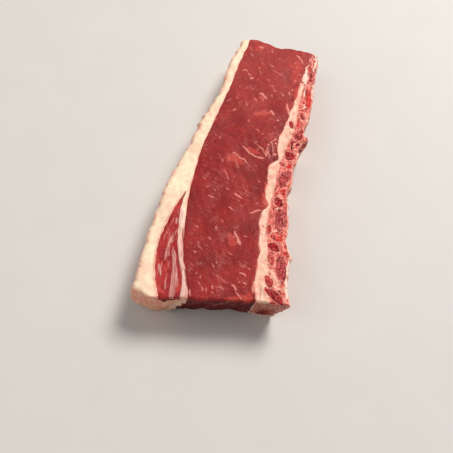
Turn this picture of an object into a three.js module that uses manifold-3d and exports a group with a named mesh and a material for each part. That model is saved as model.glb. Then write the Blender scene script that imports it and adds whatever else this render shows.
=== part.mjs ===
// A raw beef rib roast: a slab cut across the ribs, lying on its cut face.
// Millimetres, +Z up. X runs across the slab, from the fat cap (-X) to the ribs (+X), and Y runs along it.
// The origin is on the resting face, under the middle of the slab.

import * as THREE from "three";
import { mergeVertices } from "three/addons/utils/BufferGeometryUtils.js";
import Module from "manifold-3d";

// ---- Driving dimensions ----

const LENGTH = 346; // typical distance between the two end faces
const THICKNESS = 42;
const GAP = 0.35; // left between neighbouring pieces

// Plan outlines on the upper cut face: X at even stations from the near end (-Y) to the far end (+Y).
const FAT_EDGE_X = [-69, -71.5, -73, -71.5, -64.5, -59, -51.5, -51.5, -45.5];
const EYE_LEFT_X = [-15, -31, -41, -46.5, -48, -44.5, -40.5, -38.5, -35];
const EYE_RIGHT_X = [44, 36.5, 32.5, 28.5, 29.5, 31.5, 36, 38, 43.5];
const RIB_EDGE_X = [75.5, 66, 59, 52, 53, 55, 55.5, 53, 49];

// Y of the two end faces' upper edges, at even stations across the slab from X = -HALF_SPAN to HALF_SPAN.
const HALF_SPAN = 75;
const NEAR_FACE_Y = [-173, -175.5, -170, -166, -161, -156, -153];
const FAR_FACE_Y = [168.5, 174.5, 176.5, 171, 171.5, 167.5, 164];

// How far each boundary moves from the upper face down to the resting face.
const NEAR_SETBACK = [2, 2.5, 5, 6, 6.5, 2, 2]; // the near face leans back under the slab
const EYE_SLANT = [23, 17, 12, 8, 6, 5, 5, 5, 5]; // the eye reaches under the fat
const RIB_UNDERCUT = [14, 11, 8, 6, 5, 5, 4, 4, 4]; // the rib side leans inwards
const EYE_UNDERCUT_SHARE = 0.4; // of the rib undercut, at the eye's right side

// Rounding of the outer edges, as radii.
const FAT_EDGE_RADIUS = 6;
const RIB_EDGE_RADIUS = 3;
const END_EDGE_RADIUS = 2.5;
const FOOT_SHARE = 0.6; // of each radius, round the resting face

// The fat cap's skin side is scalloped, more strongly towards the far end.
const SCALLOPS = 20;
const SCALLOP_DEPTH = 1.7;
const SCALLOP_STRENGTH = [0.7, 1.3]; // of that depth, at the near and the far end
const SCALLOP_SLANT = 0.6; // how far a scallop drifts along the slab on its way down, in scallops
const SCALLOP_WANDER = 0.35; // how much their spacing swells and shrinks, in scallops
const SCALLOP_WANDER_WAVES = 3;
const FAT_BELLY = 1.2;

// Local lumps of an outline. at: place along the slab (0 near, 1 far); out: mm towards +X; reach: half its
// width, as a share of the slab's length.
const EYE_RIGHT_LUMPS = [
  { at: 0.05, out: -2, reach: 0.025 },
  { at: 0.15, out: 2.3, reach: 0.025 },
  { at: 0.25, out: -2.2, reach: 0.035 },
  { at: 0.32, out: 3.5, reach: 0.02 },
  { at: 0.45, out: -3.5, reach: 0.03 },
  { at: 0.495, out: 4.5, reach: 0.018 },
  { at: 0.58, out: -1.8, reach: 0.03 },
];
const RIB_EDGE_LUMPS = [
  { at: 0.045, out: -3, reach: 0.03 },
  { at: 0.15, out: 3.2, reach: 0.025 },
  { at: 0.21, out: -1.9, reach: 0.03 },
  { at: 0.36, out: -2, reach: 0.02 },
  { at: 0.41, out: 1.9, reach: 0.02 },
  { at: 0.47, out: -1.9, reach: 0.02 },
  { at: 0.55, out: -2.2, reach: 0.018 },
  { at: 0.596, out: 4.8, reach: 0.012 },
  { at: 0.64, out: -2.3, reach: 0.02 },
  { at: 0.955, out: 2.4, reach: 0.02 },
];
const RIB_SWELL = 1.6; // the ribs stand out of the rib side below the upper face
const RIB_SWELL_REACH = 0.03;

// The upper face isn't quite flat.
const FACE_WAVE = 0.6;
const WAVE_LENGTH_X = 62;
const WAVE_LENGTH_Y = 97;
const WAVE_START_X = 10;

// The cap muscle: a tongue in the fat, open at the near end and pointed at its far tip.
const CAP_LEFT_X = [-41.5, -49.5, -55.8, -58.5, -56.8, -54.2, -49.8];
const CAP_RIGHT_X = [-22.5, -25.5, -33.5, -40.3, -45, -48.3, -49];
const CAP_LENGTH = 0.335; // share of the slab
const CAP_DEPTH = [6, 9, 12, 13, 12, 9, 5];
const CAP_EDGE_DEPTH = 0.35; // share of that depth at the tongue's two sides

// Bones and muscles of the rib side, each an upright column that follows the slant of the side.
// x, y: middle on the upper face; long, wide: its section; turn: degrees from +Y towards +X;
// taper: how much wider the end that turn points to is.
const RIB_BONES = [
  { x: 61, y: -119.5, long: 26, wide: 11, turn: 162, taper: 0.1 },
  { x: 50, y: -68.5, long: 25, wide: 12, turn: 172, taper: 0.1 },
  { x: 45, y: -20, long: 22, wide: 11, turn: 7, taper: 0 },
  { x: 49.5, y: 40, long: 16, wide: 8.5, turn: 14, taper: -0.1 },
];
const RIB_MUSCLES = [
  { x: 46.5, y: 139, long: 38, wide: 5.5, turn: 166, taper: 0.2 },
  { x: 50, y: 95, long: 34, wide: 6.5, turn: 167, taper: 0 },
  { x: 47.5, y: 68, long: 13, wide: 6.5, turn: 151, taper: 0 },
  { x: 38, y: 53, long: 10, wide: 4, turn: 157, taper: 0 },
  { x: 44.5, y: 10.5, long: 12.5, wide: 9.5, turn: 138, taper: 0 },
  { x: 38.5, y: -2, long: 7.5, wide: 5.5, turn: 138, taper: 0 },
  { x: 45.8, y: -3.2, long: 7, wide: 5.5, turn: 179, taper: 0 },
  { x: 45.6, y: -36, long: 8.5, wide: 6.5, turn: 112, taper: 0.2 },
  { x: 43.8, y: -49, long: 11.5, wide: 8, turn: 142, taper: 0 },
  { x: 41, y: -82, long: 12, wide: 5.5, turn: 2, taper: 0 },
  { x: 50.3, y: -89, long: 13, wide: 6, turn: 99, taper: 0 },
  { x: 49.5, y: -99.5, long: 13, wide: 8, turn: 118, taper: 0 },
  { x: 49.5, y: -112.5, long: 13, wide: 6.5, turn: 155, taper: 0 },
  { x: 52, y: -134.5, long: 12.5, wide: 7.5, turn: 143, taper: 0 },
  { x: 59, y: -147, long: 22, wide: 7.5, turn: 120, taper: 0.15, depth: 18 },
];
const COLUMN_SIDES = 12;
const COLUMN_RAGGED = 0.06; // unevenness of a column's outline

// The muscle that shows at the near face under the ribs.
// across: share of the rib strip; up: share of the height; deep: how far it reaches in.
const END_MUSCLE = { across: 0.5, acrossHalf: 0.3, up: 0.3, upHalf: 0.2, deep: 11 };

// Mesh steps: across each piece, along the slab and down it.
const ROWS = 60;
const LAYERS = 4;
const FAT_COLUMNS = 5;
const EYE_COLUMNS = 4;
const RIB_COLUMNS = 4;
const CAP_ROWS = 16;
const CAP_COLUMNS = 6;
const OVERSHOOT = 0.1; // how far a cutting shape runs past the slab's faces, as a share of its own size

const COLOURS = {
  lean: 0xa2433e,
  capMuscle: 0xb54c49,
  fat: 0xfad6b8,
  ribFat: 0xeec2ab,
  bone: 0xa9504b,
  ribMuscle: 0xb0403d,
};

// ---- Curves and boundaries ----

const { lerp } = THREE.MathUtils;

// A smooth value through even stations, as a function of the share of the way from the first to the last.
function through(values) {
  const curve = new THREE.SplineCurve(values.map((value, i) => new THREE.Vector2(i, value)));
  return (share) => curve.getPoint(THREE.MathUtils.clamp(share, 0, 1)).y;
}

// The sum of bell-shaped lumps at a place along the slab.
function lumpsAt(lumps, v) {
  return lumps.reduce((sum, { at, out, reach }) => sum + out * Math.exp(-(((v - at) / reach) ** 2)), 0);
}

const fatEdgeX = through(FAT_EDGE_X);
const eyeLeftX = through(EYE_LEFT_X);
const eyeRightX = through(EYE_RIGHT_X);
const ribEdgeX = through(RIB_EDGE_X);
const nearFaceY = through(NEAR_FACE_Y);
const farFaceY = through(FAR_FACE_Y);
const nearSetback = through(NEAR_SETBACK);
const eyeSlant = through(EYE_SLANT);
const ribUndercut = through(RIB_UNDERCUT);
const capLeftX = through(CAP_LEFT_X);
const capRightX = through(CAP_RIGHT_X);
const capDepth = through(CAP_DEPTH);

// Every boundary below gives X at v along the slab (0 near, 1 far) and w up it (0 resting, 1 upper face).

function fatEdge(v, w) {
  const wander = SCALLOP_WANDER * Math.sin(2 * Math.PI * SCALLOP_WANDER_WAVES * v);
  const phase = Math.PI * (v * SCALLOPS + wander + SCALLOP_SLANT * (1 - w));
  const depth = SCALLOP_DEPTH * lerp(...SCALLOP_STRENGTH, v);
  const scallop = depth * (Math.abs(Math.sin(phase)) - 2 / Math.PI);
  return fatEdgeX(v) - scallop - FAT_BELLY * Math.sin(Math.PI * w);
}

function eyeLeft(v, w) {
  return eyeLeftX(v) - eyeSlant(v) * (1 - w);
}

function eyeRight(v, w) {
  return eyeRightX(v) + lumpsAt(EYE_RIGHT_LUMPS, v) - EYE_UNDERCUT_SHARE * ribUndercut(v) * (1 - w);
}

function ribEdge(v, w) {
  const ribs = RIB_BONES.map((bone) => {
    return { at: shareAlong(bone.x, bone.y), out: RIB_SWELL, reach: RIB_SWELL_REACH };
  });
  const swell = lumpsAt(ribs, v) * Math.sin(Math.PI * w);
  return ribEdgeX(v) + lumpsAt(RIB_EDGE_LUMPS, v) + swell - ribUndercut(v) * (1 - w);
}

function nearFace(x, w) {
  const across = (x + HALF_SPAN) / (2 * HALF_SPAN);
  return nearFaceY(across) + nearSetback(across) * (1 - w);
}

function farFace(x) {
  return farFaceY((x + HALF_SPAN) / (2 * HALF_SPAN));
}

// v of a point on the upper face.
function shareAlong(x, y) {
  return (y - nearFace(x, 1)) / (farFace(x) - nearFace(x, 1));
}

// How much a rounded edge takes off the height at a distance in from that edge.
function roundingDrop(distance, radius) {
  const left = THREE.MathUtils.clamp(radius - distance, 0, radius);
  return radius - Math.sqrt(radius ** 2 - left ** 2);
}

// The point of the slab at X, v along it and w up it.
function slabPoint(x, v, w) {
  const near = nearFace(x, w);
  const far = farFace(x);
  const y = lerp(near, far, v);
  const drop =
    roundingDrop(x - fatEdge(v, w), FAT_EDGE_RADIUS) +
    roundingDrop(ribEdge(v, w) - x, RIB_EDGE_RADIUS) +
    roundingDrop(y - near, END_EDGE_RADIUS) +
    roundingDrop(far - y, END_EDGE_RADIUS);
  const across = Math.sin((2 * Math.PI * (x + WAVE_START_X)) / WAVE_LENGTH_X);
  const wave = FACE_WAVE * across * Math.sin((2 * Math.PI * y) / WAVE_LENGTH_Y);
  return new THREE.Vector3(x, y, lerp(FOOT_SHARE * drop, THICKNESS + wave - drop, w));
}

// The point under (x, y) of the upper face in the rib strip, at w up the slab.
// It keeps its share of the strip's width.
function ribPoint(x, y, w) {
  const v = shareAlong(x, y);
  const share = (x - eyeRight(v, 1)) / (ribEdge(v, 1) - eyeRight(v, 1));
  return slabPoint(lerp(eyeRight(v, w), ribEdge(v, w), share), v, w);
}

// ---- Solids ----

const wasm = await Module();
wasm.setup();

const UNIT_HEIGHT = { depth: 1, steps: 1, bevelEnabled: false, curveSegments: 9 };

// Moves every vertex of a closed geometry by a function of its position, and makes a solid of the result.
function mapped(geometry, place) {
  geometry.deleteAttribute("normal");
  geometry.deleteAttribute("uv");
  const closed = mergeVertices(geometry);
  const positions = closed.attributes.position;
  const point = new THREE.Vector3();
  for (let i = 0; i < positions.count; i++) {
    point.fromBufferAttribute(positions, i);
    positions.setXYZ(i, ...place(point));
  }
  const mesh = new wasm.Mesh({
    numProp: 3,
    vertProperties: positions.array,
    triVerts: new Uint32Array(closed.index.array),
  });
  return new wasm.Manifold(mesh);
}

// A block whose place(u, v, w) gives its points, each of u, v, w from 0 to 1.
function block(columns, rows, layers, place) {
  const box = new THREE.BoxGeometry(1, 1, 1, columns, rows, layers);
  return mapped(box, ({ x, y, z }) => place(x + 0.5, y + 0.5, z + 0.5));
}

// A length of the slab between two of its boundaries. A spread over 1 packs its columns towards the left one.
function lengthwise(columns, left, right, spread = 1) {
  return block(columns, ROWS, LAYERS, (u, v, w) => {
    const x = lerp(left(v, w), right(v, w), u ** spread);
    return slabPoint(x, v, w);
  });
}

// The cap muscle's tongue, grown by a clearance. It runs past the near face and the upper face.
function capTongue(clearance) {
  return block(CAP_COLUMNS, CAP_ROWS, 1, (u, v, w) => {
    const along = lerp(-OVERSHOOT, 1, v);
    const left = capLeftX(along) - clearance;
    const right = capRightX(along) + clearance;
    const rounded = lerp(CAP_EDGE_DEPTH, 1, 1 - (2 * u - 1) ** 2);
    const depth = capDepth(along) * rounded + clearance;
    const point = slabPoint(lerp(left, right, u), along * (CAP_LENGTH + clearance / LENGTH), 1);
    point.z = lerp(THICKNESS - depth, THICKNESS * (1 + OVERSHOOT), w);
    return point;
  });
}

// The outline of a bone or muscle on the upper face, grown by a clearance.
function sectionOf({ x, y, long, wide, turn, taper }, clearance) {
  const turned = THREE.MathUtils.degToRad(turn);
  const outline = Array.from({ length: COLUMN_SIDES }, (_, i) => {
    const angle = (2 * Math.PI * i) / COLUMN_SIDES;
    const ragged = 1 + COLUMN_RAGGED * Math.sin(3 * angle + x + y);
    const widening = 1 + taper * Math.cos(angle);
    const forward = ((long / 2) * ragged + clearance) * Math.cos(angle);
    const aside = ((wide / 2) * ragged * widening + clearance) * Math.sin(angle);
    return new THREE.Vector2(
      x + forward * Math.sin(turned) + aside * Math.cos(turned),
      y + forward * Math.cos(turned) - aside * Math.sin(turned),
    );
  });
  return new THREE.Shape(outline);
}

// An upright column of the rib strip. It runs past the upper face, and past the resting face too unless the
// piece has a depth of its own.
function column(piece, clearance) {
  const foot = piece.depth ? 1 - (piece.depth + clearance) / THICKNESS : -OVERSHOOT;
  const prism = new THREE.ExtrudeGeometry(sectionOf(piece, clearance), UNIT_HEIGHT);
  return mapped(prism, ({ x, y, z }) => ribPoint(x, y, lerp(foot, 1 + OVERSHOOT, z)));
}

// The end muscle, lying along Y from before the near face.
function endMuscle(clearance) {
  const { across, acrossHalf, up, upHalf, deep } = END_MUSCLE;
  const growth = clearance / THICKNESS;
  const oval = new THREE.Shape().absellipse(across, up, acrossHalf + growth, upHalf + growth, 0, 2 * Math.PI);
  const prism = new THREE.ExtrudeGeometry(oval, UNIT_HEIGHT);
  return mapped(prism, ({ x: share, y: w, z }) => {
    const point = slabPoint(lerp(eyeRight(0, w), ribEdge(0, w), share), 0, w);
    point.y += lerp(deep + clearance, -THICKNESS * OVERSHOOT, z);
    return point;
  });
}

// ---- Meshes ----

const roast = new THREE.Group();

// Adds a solid's largest body as a named mesh.
function add(name, solid, colour, roughness) {
  const [body] = solid.decompose().sort((a, b) => b.volume() - a.volume());
  const { vertProperties, triVerts } = body.getMesh();
  const geometry = new THREE.BufferGeometry();
  geometry.setAttribute("position", new THREE.BufferAttribute(vertProperties, 3));
  geometry.setIndex(new THREE.BufferAttribute(triVerts, 1));
  const material = new THREE.MeshStandardMaterial({ color: colour, roughness, metalness: 0 });
  const mesh = new THREE.Mesh(geometry, material);
  mesh.name = name;
  roast.add(mesh);
}

const eye = lengthwise(
  EYE_COLUMNS,
  (v, w) => eyeLeft(v, w) + GAP / 2,
  (v, w) => eyeRight(v, w) - GAP / 2,
);
add("lean_eye", eye, COLOURS.lean, 0.45);

const fatBlock = lengthwise(FAT_COLUMNS, fatEdge, (v, w) => eyeLeft(v, w) - GAP / 2, 1.5);
add("cap_muscle", fatBlock.intersect(capTongue(0)), COLOURS.capMuscle, 0.45);
add("fat_cap", fatBlock.subtract(capTongue(GAP)), COLOURS.fat, 0.5);

const ribBlock = lengthwise(RIB_COLUMNS, (v, w) => eyeRight(v, w) + GAP / 2, ribEdge);
const columns = [...RIB_BONES, ...RIB_MUSCLES];
const pockets = [endMuscle(GAP), ...columns.map((piece) => column(piece, GAP))];
add("rib_fat", pockets.reduce((rest, pocket) => rest.subtract(pocket), ribBlock), COLOURS.ribFat, 0.5);
RIB_BONES.forEach((bone, i) => {
  add(`rib_bone_${i + 1}`, ribBlock.intersect(column(bone, 0)), COLOURS.bone, 0.55);
});
RIB_MUSCLES.forEach((muscle, i) => {
  add(`rib_muscle_${i + 1}`, ribBlock.intersect(column(muscle, 0)), COLOURS.ribMuscle, 0.4);
});
add("end_muscle", ribBlock.intersect(endMuscle(0)), COLOURS.ribMuscle, 0.4);

export default roast;
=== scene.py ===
# %% [markdown]
# # A raw beef rib roast
#
# A long slab cut through the rib end of a loin. It lies on one cut face and shows the other: fat on the
# left, the big red eye muscle in the middle, and fat with sawn ribs and small muscles on the right.
#
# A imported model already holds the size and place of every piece. We load it first and never move it. Each
# of its plain solids is then hidden behind a finer surface of the same form.

# %% Load the fixed frame
import math

import bpy
import numpy as np
from mathutils import Matrix, Vector


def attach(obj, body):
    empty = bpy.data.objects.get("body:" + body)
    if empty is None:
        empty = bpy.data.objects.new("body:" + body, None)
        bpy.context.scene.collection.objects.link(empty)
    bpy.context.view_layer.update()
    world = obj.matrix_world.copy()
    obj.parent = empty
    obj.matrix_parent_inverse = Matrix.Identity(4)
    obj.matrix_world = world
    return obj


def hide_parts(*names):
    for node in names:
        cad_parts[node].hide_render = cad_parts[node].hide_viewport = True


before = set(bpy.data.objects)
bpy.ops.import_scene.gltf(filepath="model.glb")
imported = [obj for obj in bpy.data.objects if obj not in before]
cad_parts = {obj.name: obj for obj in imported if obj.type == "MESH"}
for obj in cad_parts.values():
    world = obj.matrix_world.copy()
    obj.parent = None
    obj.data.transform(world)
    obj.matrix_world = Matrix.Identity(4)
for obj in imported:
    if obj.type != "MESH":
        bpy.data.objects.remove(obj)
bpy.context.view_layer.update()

print("solids to dress:", len(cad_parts))

# %% [markdown]
# ## The shape of the slab
#
# Meat has no drawing to copy, but a slab like this is still simple to describe: four lines seen from above
# (outer fat, left and right side of the eye, outer ribs) and two end faces. Each line is a few stations,
# that is its place at even steps along the slab, joined by a smooth curve. A height between the resting
# face and the upper face moves each line a little, because the sides lean.
#
# All sizes are millimetres, as on the cutting table. They are turned into metres when a mesh is made.

# %% Sizes of the slab
MM = 0.001
LENGTH = 346
THICKNESS = 42
HALF_SPAN = 75

FAT_EDGE_X = [-69, -71.5, -73, -71.5, -64.5, -59, -51.5, -51.5, -45.5]
EYE_LEFT_X = [-15, -31, -41, -46.5, -48, -44.5, -40.5, -38.5, -35]
EYE_RIGHT_X = [44, 36.5, 32.5, 28.5, 29.5, 31.5, 36, 38, 43.5]
RIB_EDGE_X = [75.5, 66, 59, 52, 53, 55, 55.5, 53, 49]
NEAR_FACE_Y = [-173, -175.5, -170, -166, -161, -156, -153]
FAR_FACE_Y = [168.5, 174.5, 176.5, 171, 171.5, 167.5, 164]

NEAR_SETBACK = [2, 2.5, 5, 6, 6.5, 2, 2]
EYE_SLANT = [23, 17, 12, 8, 6, 5, 5, 5, 5]
RIB_UNDERCUT = [14, 11, 8, 6, 5, 5, 4, 4, 4]
EYE_UNDERCUT_SHARE = 0.4

FAT_EDGE_RADIUS = 6
RIB_EDGE_RADIUS = 3
END_EDGE_RADIUS = 2.5
CORNER_RADIUS = 7.5
FOOT_SHARE = 0.6

# Lumps of an outline: place along the slab (0 near, 1 far), how far out, and half width as a share of it.
EYE_RIGHT_LUMPS = [
    (0.05, -2, 0.025), (0.15, 2.3, 0.025), (0.25, -2.2, 0.035), (0.32, 3.5, 0.02),
    (0.45, -3.5, 0.03), (0.495, 4.5, 0.018), (0.58, -1.8, 0.03),
]
RIB_EDGE_LUMPS = [
    (0.045, -3, 0.03), (0.15, 3.2, 0.025), (0.21, -1.9, 0.03), (0.36, -2, 0.02), (0.41, 1.9, 0.02),
    (0.47, -1.9, 0.02), (0.55, -2.2, 0.018), (0.64, -2.3, 0.02), (0.955, 2.4, 0.02),
]
RIB_KNOB = (0.596, 4.8, 0.012)
KNOB_BELOW = 0.35

# %% A smooth curve through even stations
def through(values):
    """Returns curve(share), smooth through values at even steps of share from 0 to 1.

    Between two stations it is the cubic whose slope at each station is half the step between that
    station's two neighbours."""
    stations = np.asarray(values, float)
    last = len(stations) - 1

    def curve(share):
        place = np.clip(share, 0, 1) * last
        start = np.minimum(np.floor(place).astype(int), last - 1)
        t = place - start
        before, a, b, after = (stations[np.clip(start + k, 0, last)] for k in (-1, 0, 1, 2))
        slope_a = (b - before) / 2
        slope_b = (after - a) / 2
        cubic = 2 * (a - b) + slope_a + slope_b
        square = 3 * (b - a) - 2 * slope_a - slope_b
        return a + t * (slope_a + t * (square + t * cubic))

    return curve


def lumps(rows, v):
    """The sum of bell-shaped lumps: each is its height times exp(-(distance / half width) squared)."""
    return sum(out * np.exp(-(((v - at) / reach) ** 2)) for at, out, reach in rows)


def lerp(a, b, share):
    """The value a share of the way from a to b."""
    return a + (b - a) * share


def turns(count):
    """Angles at even steps once round a circle."""
    return np.arange(count) * 2 * np.pi / count


def smooth(low, high, value):
    """0 below low, 1 above high, and an S-shaped step between them."""
    t = np.clip((value - low) / (high - low), 0, 1)
    return t * t * (3 - 2 * t)


print("outer fat at mid length:", through(FAT_EDGE_X)(0.5), "mm")

# %% [markdown]
# ## Unevenness
#
# Nothing on meat is straight. A sum of waves in random directions gives soft bumps of one size, the same on
# every run because the draw is seeded. A neighbour that uses the same bumps has the same seam, so two
# pieces meet without a gap.

# %% Random bumps of one size
WAVES = 14


def ripples(seed, size, *place):
    """Soft random bumps, mostly within -1 to 1, each about size across.

    The sum of WAVES sine waves, with random directions and phases and with lengths near size."""
    draw = np.random.default_rng(seed)
    total = 0
    for _ in range(WAVES):
        direction = draw.normal(size=len(place))
        pitch = 2 * size * draw.uniform(0.7, 1.4)
        direction *= 2 * np.pi / (pitch * np.linalg.norm(direction))
        phase = draw.uniform(0, 2 * np.pi)
        total = total + np.sin(sum(k * axis for k, axis in zip(direction, place)) + phase)
    return total / math.sqrt(WAVES)


def crags(layers, along, w):
    """Bumps of several sizes on a side of the slab, at along mm and w up: the sum of its layers."""
    return sum(height * ripples(seed, size, along, THICKNESS * w) for height, seed, size in layers)


print("bump at the origin:", round(float(ripples(1, 5.0, 0.0, 0.0)), 3))

# %% [markdown]
# ## The four lines and the two ends
#
# Each line is a function of v, the share of the way along the slab, and w, the share of the way up. The
# skin side of the fat is scalloped where the knife trimmed it in short strokes.

# %% Boundaries of the slab
SCALLOPS = 20
SCALLOP_DEPTH = 1.15
SCALLOP_STRENGTH = (0.7, 1.3)
SCALLOP_SLANT = 0.6
SCALLOP_WANDER = 0.5
SCALLOP_WANDER_WAVES = 3
FAT_BELLY = 1.2
TAGS = (0.64, 1.7, 0.07)
TORN_HEIGHT = 0.7
TORN_FROM_X = (-16, -28)

# Layers of crags on each side: height, seed and size.
NEAR_CRAGS = [(0.5, 11, 9), (0.3, 12, 4)]
FAR_CRAGS = [(0.5, 13, 9), (0.3, 14, 4)]
FAT_CRAGS = [(0.45, 21, 6), (0.3, 22, 2.5)]
SEAM_CRAGS = [(0.3, 23, 7)]
INNER_CRAGS = [(0.55, 24, 6), (0.12, 25, 2.5)]
RIB_CRAGS = [(0.6, 26, 5), (0.2, 27, 2.4)]

fat_edge_x = through(FAT_EDGE_X)
eye_left_x = through(EYE_LEFT_X)
eye_right_x = through(EYE_RIGHT_X)
rib_edge_x = through(RIB_EDGE_X)
near_face_y = through(NEAR_FACE_Y)
far_face_y = through(FAR_FACE_Y)
near_setback = through(NEAR_SETBACK)
eye_slant = through(EYE_SLANT)
rib_undercut = through(RIB_UNDERCUT)


def near_face(x, w):
    """Y of the near end: its upper line, set back towards the resting face, and torn in the fat."""
    across = (x + HALF_SPAN) / (2 * HALF_SPAN)
    in_fat = smooth(*TORN_FROM_X, x) * smooth(1, 0.9, w)
    torn = TORN_HEIGHT * ripples(15, 2.6, x + 8 * w, 14 * w) * in_fat
    return near_face_y(across) + near_setback(across) * (1 - w) + crags(NEAR_CRAGS, x, w) + torn


def far_face(x, w):
    """Y of the far end."""
    return far_face_y((x + HALF_SPAN) / (2 * HALF_SPAN)) + crags(FAR_CRAGS, x, w)


def share_along(x, y):
    """v of a point of the upper face."""
    near = near_face(x, 1.0)
    return (y - near) / (far_face(x, 1.0) - near)


def fat_edge(v, w):
    """X of the fat's skin side: the station curve, minus rounded scallops, a slight belly and torn tags."""
    wander = SCALLOP_WANDER * np.sin(2 * np.pi * SCALLOP_WANDER_WAVES * v)
    phase = np.pi * (v * SCALLOPS + wander + SCALLOP_SLANT * (1 - w))
    depth = SCALLOP_DEPTH * lerp(*SCALLOP_STRENGTH, v)
    scallop = depth * (np.abs(np.sin(phase)) - 2 / np.pi)
    tags = lumps([TAGS], v) * np.abs(ripples(28, 2, LENGTH * v, THICKNESS * w))
    return fat_edge_x(v) - scallop - FAT_BELLY * np.sin(np.pi * w) + (crags(FAT_CRAGS, LENGTH * v, w) - tags)


def eye_left(v, w):
    """X where the eye meets the fat cap: the station curve, leaning out under the fat."""
    return eye_left_x(v) - eye_slant(v) * (1 - w) + crags(SEAM_CRAGS, LENGTH * v, w)


def eye_right(v, w):
    """X where the eye meets the inner fat: the station curve with lumps, leaning back under the ribs."""
    undercut = EYE_UNDERCUT_SHARE * rib_undercut(v) * (1 - w)
    return eye_right_x(v) + lumps(EYE_RIGHT_LUMPS, v) - undercut + crags(INNER_CRAGS, LENGTH * v, w)


# %% [markdown]
# ## Bones and small muscles
#
# On the rib side the saw went through four ribs and the muscles between them. Each is an upright column
# whose section is a ragged ellipse, so one row of sizes describes it: its middle, length and width, the
# way it points, how much one end widens, and its finish.

# %% Sizes of the columns
# x and y of the middle, long, wide, turn in degrees from +Y towards +X, taper, finish.
RIB_BONES = [
    (61, -119.5, 26, 11, 162, 0.1, "bone"),
    (50, -68.5, 25, 12, 172, 0.1, "bone"),
    (45, -20, 22, 11, 7, 0, "bone"),
    (49.5, 40, 16, 8.5, 14, -0.1, "bone"),
]
RIB_MUSCLES = [
    (46.5, 139, 38, 5.5, 166, 0.2, "rosy"),
    (50, 95, 34, 6.5, 167, 0, "red"),
    (47.5, 68, 13, 6.5, 151, 0, "rosy"),
    (38, 53, 10, 4, 157, 0, "crimson"),
    (44.5, 10.5, 12.5, 9.5, 138, 0, "crimson"),
    (38.5, -2, 7.5, 5.5, 138, 0, "rosy"),
    (45.8, -3.2, 7, 5.5, 179, 0, "red"),
    (45.6, -36, 8.5, 6.5, 112, 0.2, "red"),
    (43.8, -49, 11.5, 8, 142, 0, "crimson"),
    (41, -82, 12, 5.5, 2, 0, "rosy"),
    (50.3, -89, 13, 6, 99, 0, "red"),
    (49.5, -99.5, 13, 8, 118, 0, "crimson"),
    (49.5, -112.5, 13, 6.5, 155, 0, "rosy"),
    (52, -134.5, 12.5, 7.5, 143, 0, "rosy"),
    (59, -147, 22, 7.5, 120, 0.15, "crimson"),
]
COLUMN_RAGGED = 0.06
CORNER_MUSCLE_DEPTH = 18
RIB_SWELL = 1.6
RIB_SWELL_REACH = 0.03
# The muscle at the near face: middle and half size as shares of the rib side, and depth in mm.
END_MUSCLE = {"across": 0.5, "across_half": 0.3, "up": 0.3, "up_half": 0.2, "deep": 11}


def rib_edge(v, w):
    """X of the rib side: the station curve with lumps, leaning inwards below, swelling out over each rib."""
    ribs = [(share_along(x, y), RIB_SWELL, RIB_SWELL_REACH) for x, y, *_ in RIB_BONES]
    swell = lumps(ribs, v) * np.sin(np.pi * w) + lumps([RIB_KNOB], v) * lerp(KNOB_BELOW, 1, w)
    side = rib_edge_x(v) + lumps(RIB_EDGE_LUMPS, v) + swell - rib_undercut(v) * (1 - w)
    return side + crags(RIB_CRAGS, LENGTH * v, w)


# %% [markdown]
# ## A point of the slab
#
# With the lines known, any point of the slab follows from three numbers: x across, v along and w up. The
# outer edges are rounded by taking a quarter circle off the height, and the cut faces get their relief
# here: the eye stays nearly smooth, and the rib side is craggy.

# %% From x, v and w to a point
FACE_WAVE = 0.6
WAVE_LENGTH_X = 62
WAVE_LENGTH_Y = 97
WAVE_START_X = 10
SEAM_DEPTH = 0.2
SEAM_WIDTH = 0.7
RIBS_FADE_IN = (3, 12)
FAT_FADES_IN = (0, 3)
NEAR_CORNER_X = (-45, -66)
UNDERSIDE_BUMPS = 0.12
HIGHEST = 43.3

# Bumps of the upper face: height on the eye, how much more on the fat and on the rib side, seed and size.
FACE_BUMPS = [(0.22, 0, 0, 31, 16), (0.1, 0.04, 0.5, 32, 4.5), (0.05, 0, 0.24, 33, 1.7)]


def rounding(distance, radius):
    """How much a quarter-round edge takes off the height at a distance in from the edge."""
    left = np.clip(radius - distance, 0, radius)
    return radius - np.sqrt(radius**2 - left**2)


def face_relief(x, y, v):
    """Height of the upper face's bumps, growing from the eye to the ribs, with a crease on each seam."""
    ribs = smooth(*RIBS_FADE_IN, x - eye_right(v, 1.0))
    fat = smooth(*FAT_FADES_IN, eye_left(v, 1.0) - x)
    seams = sum(lumps([(0, 1, SEAM_WIDTH)], x - line(v, 1.0)) for line in (eye_left, eye_right))
    bumps = sum(
        (height + more_on_fat * fat + more_on_ribs * ribs) * ripples(seed, size, x, y)
        for height, more_on_fat, more_on_ribs, seed, size in FACE_BUMPS
    )
    return bumps - SEAM_DEPTH * seams


def near_radius(x):
    """Radius of the near end's upper edge: small, and growing round the corner of the fat."""
    return lerp(END_EDGE_RADIUS, CORNER_RADIUS, smooth(*NEAR_CORNER_X, x))


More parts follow.
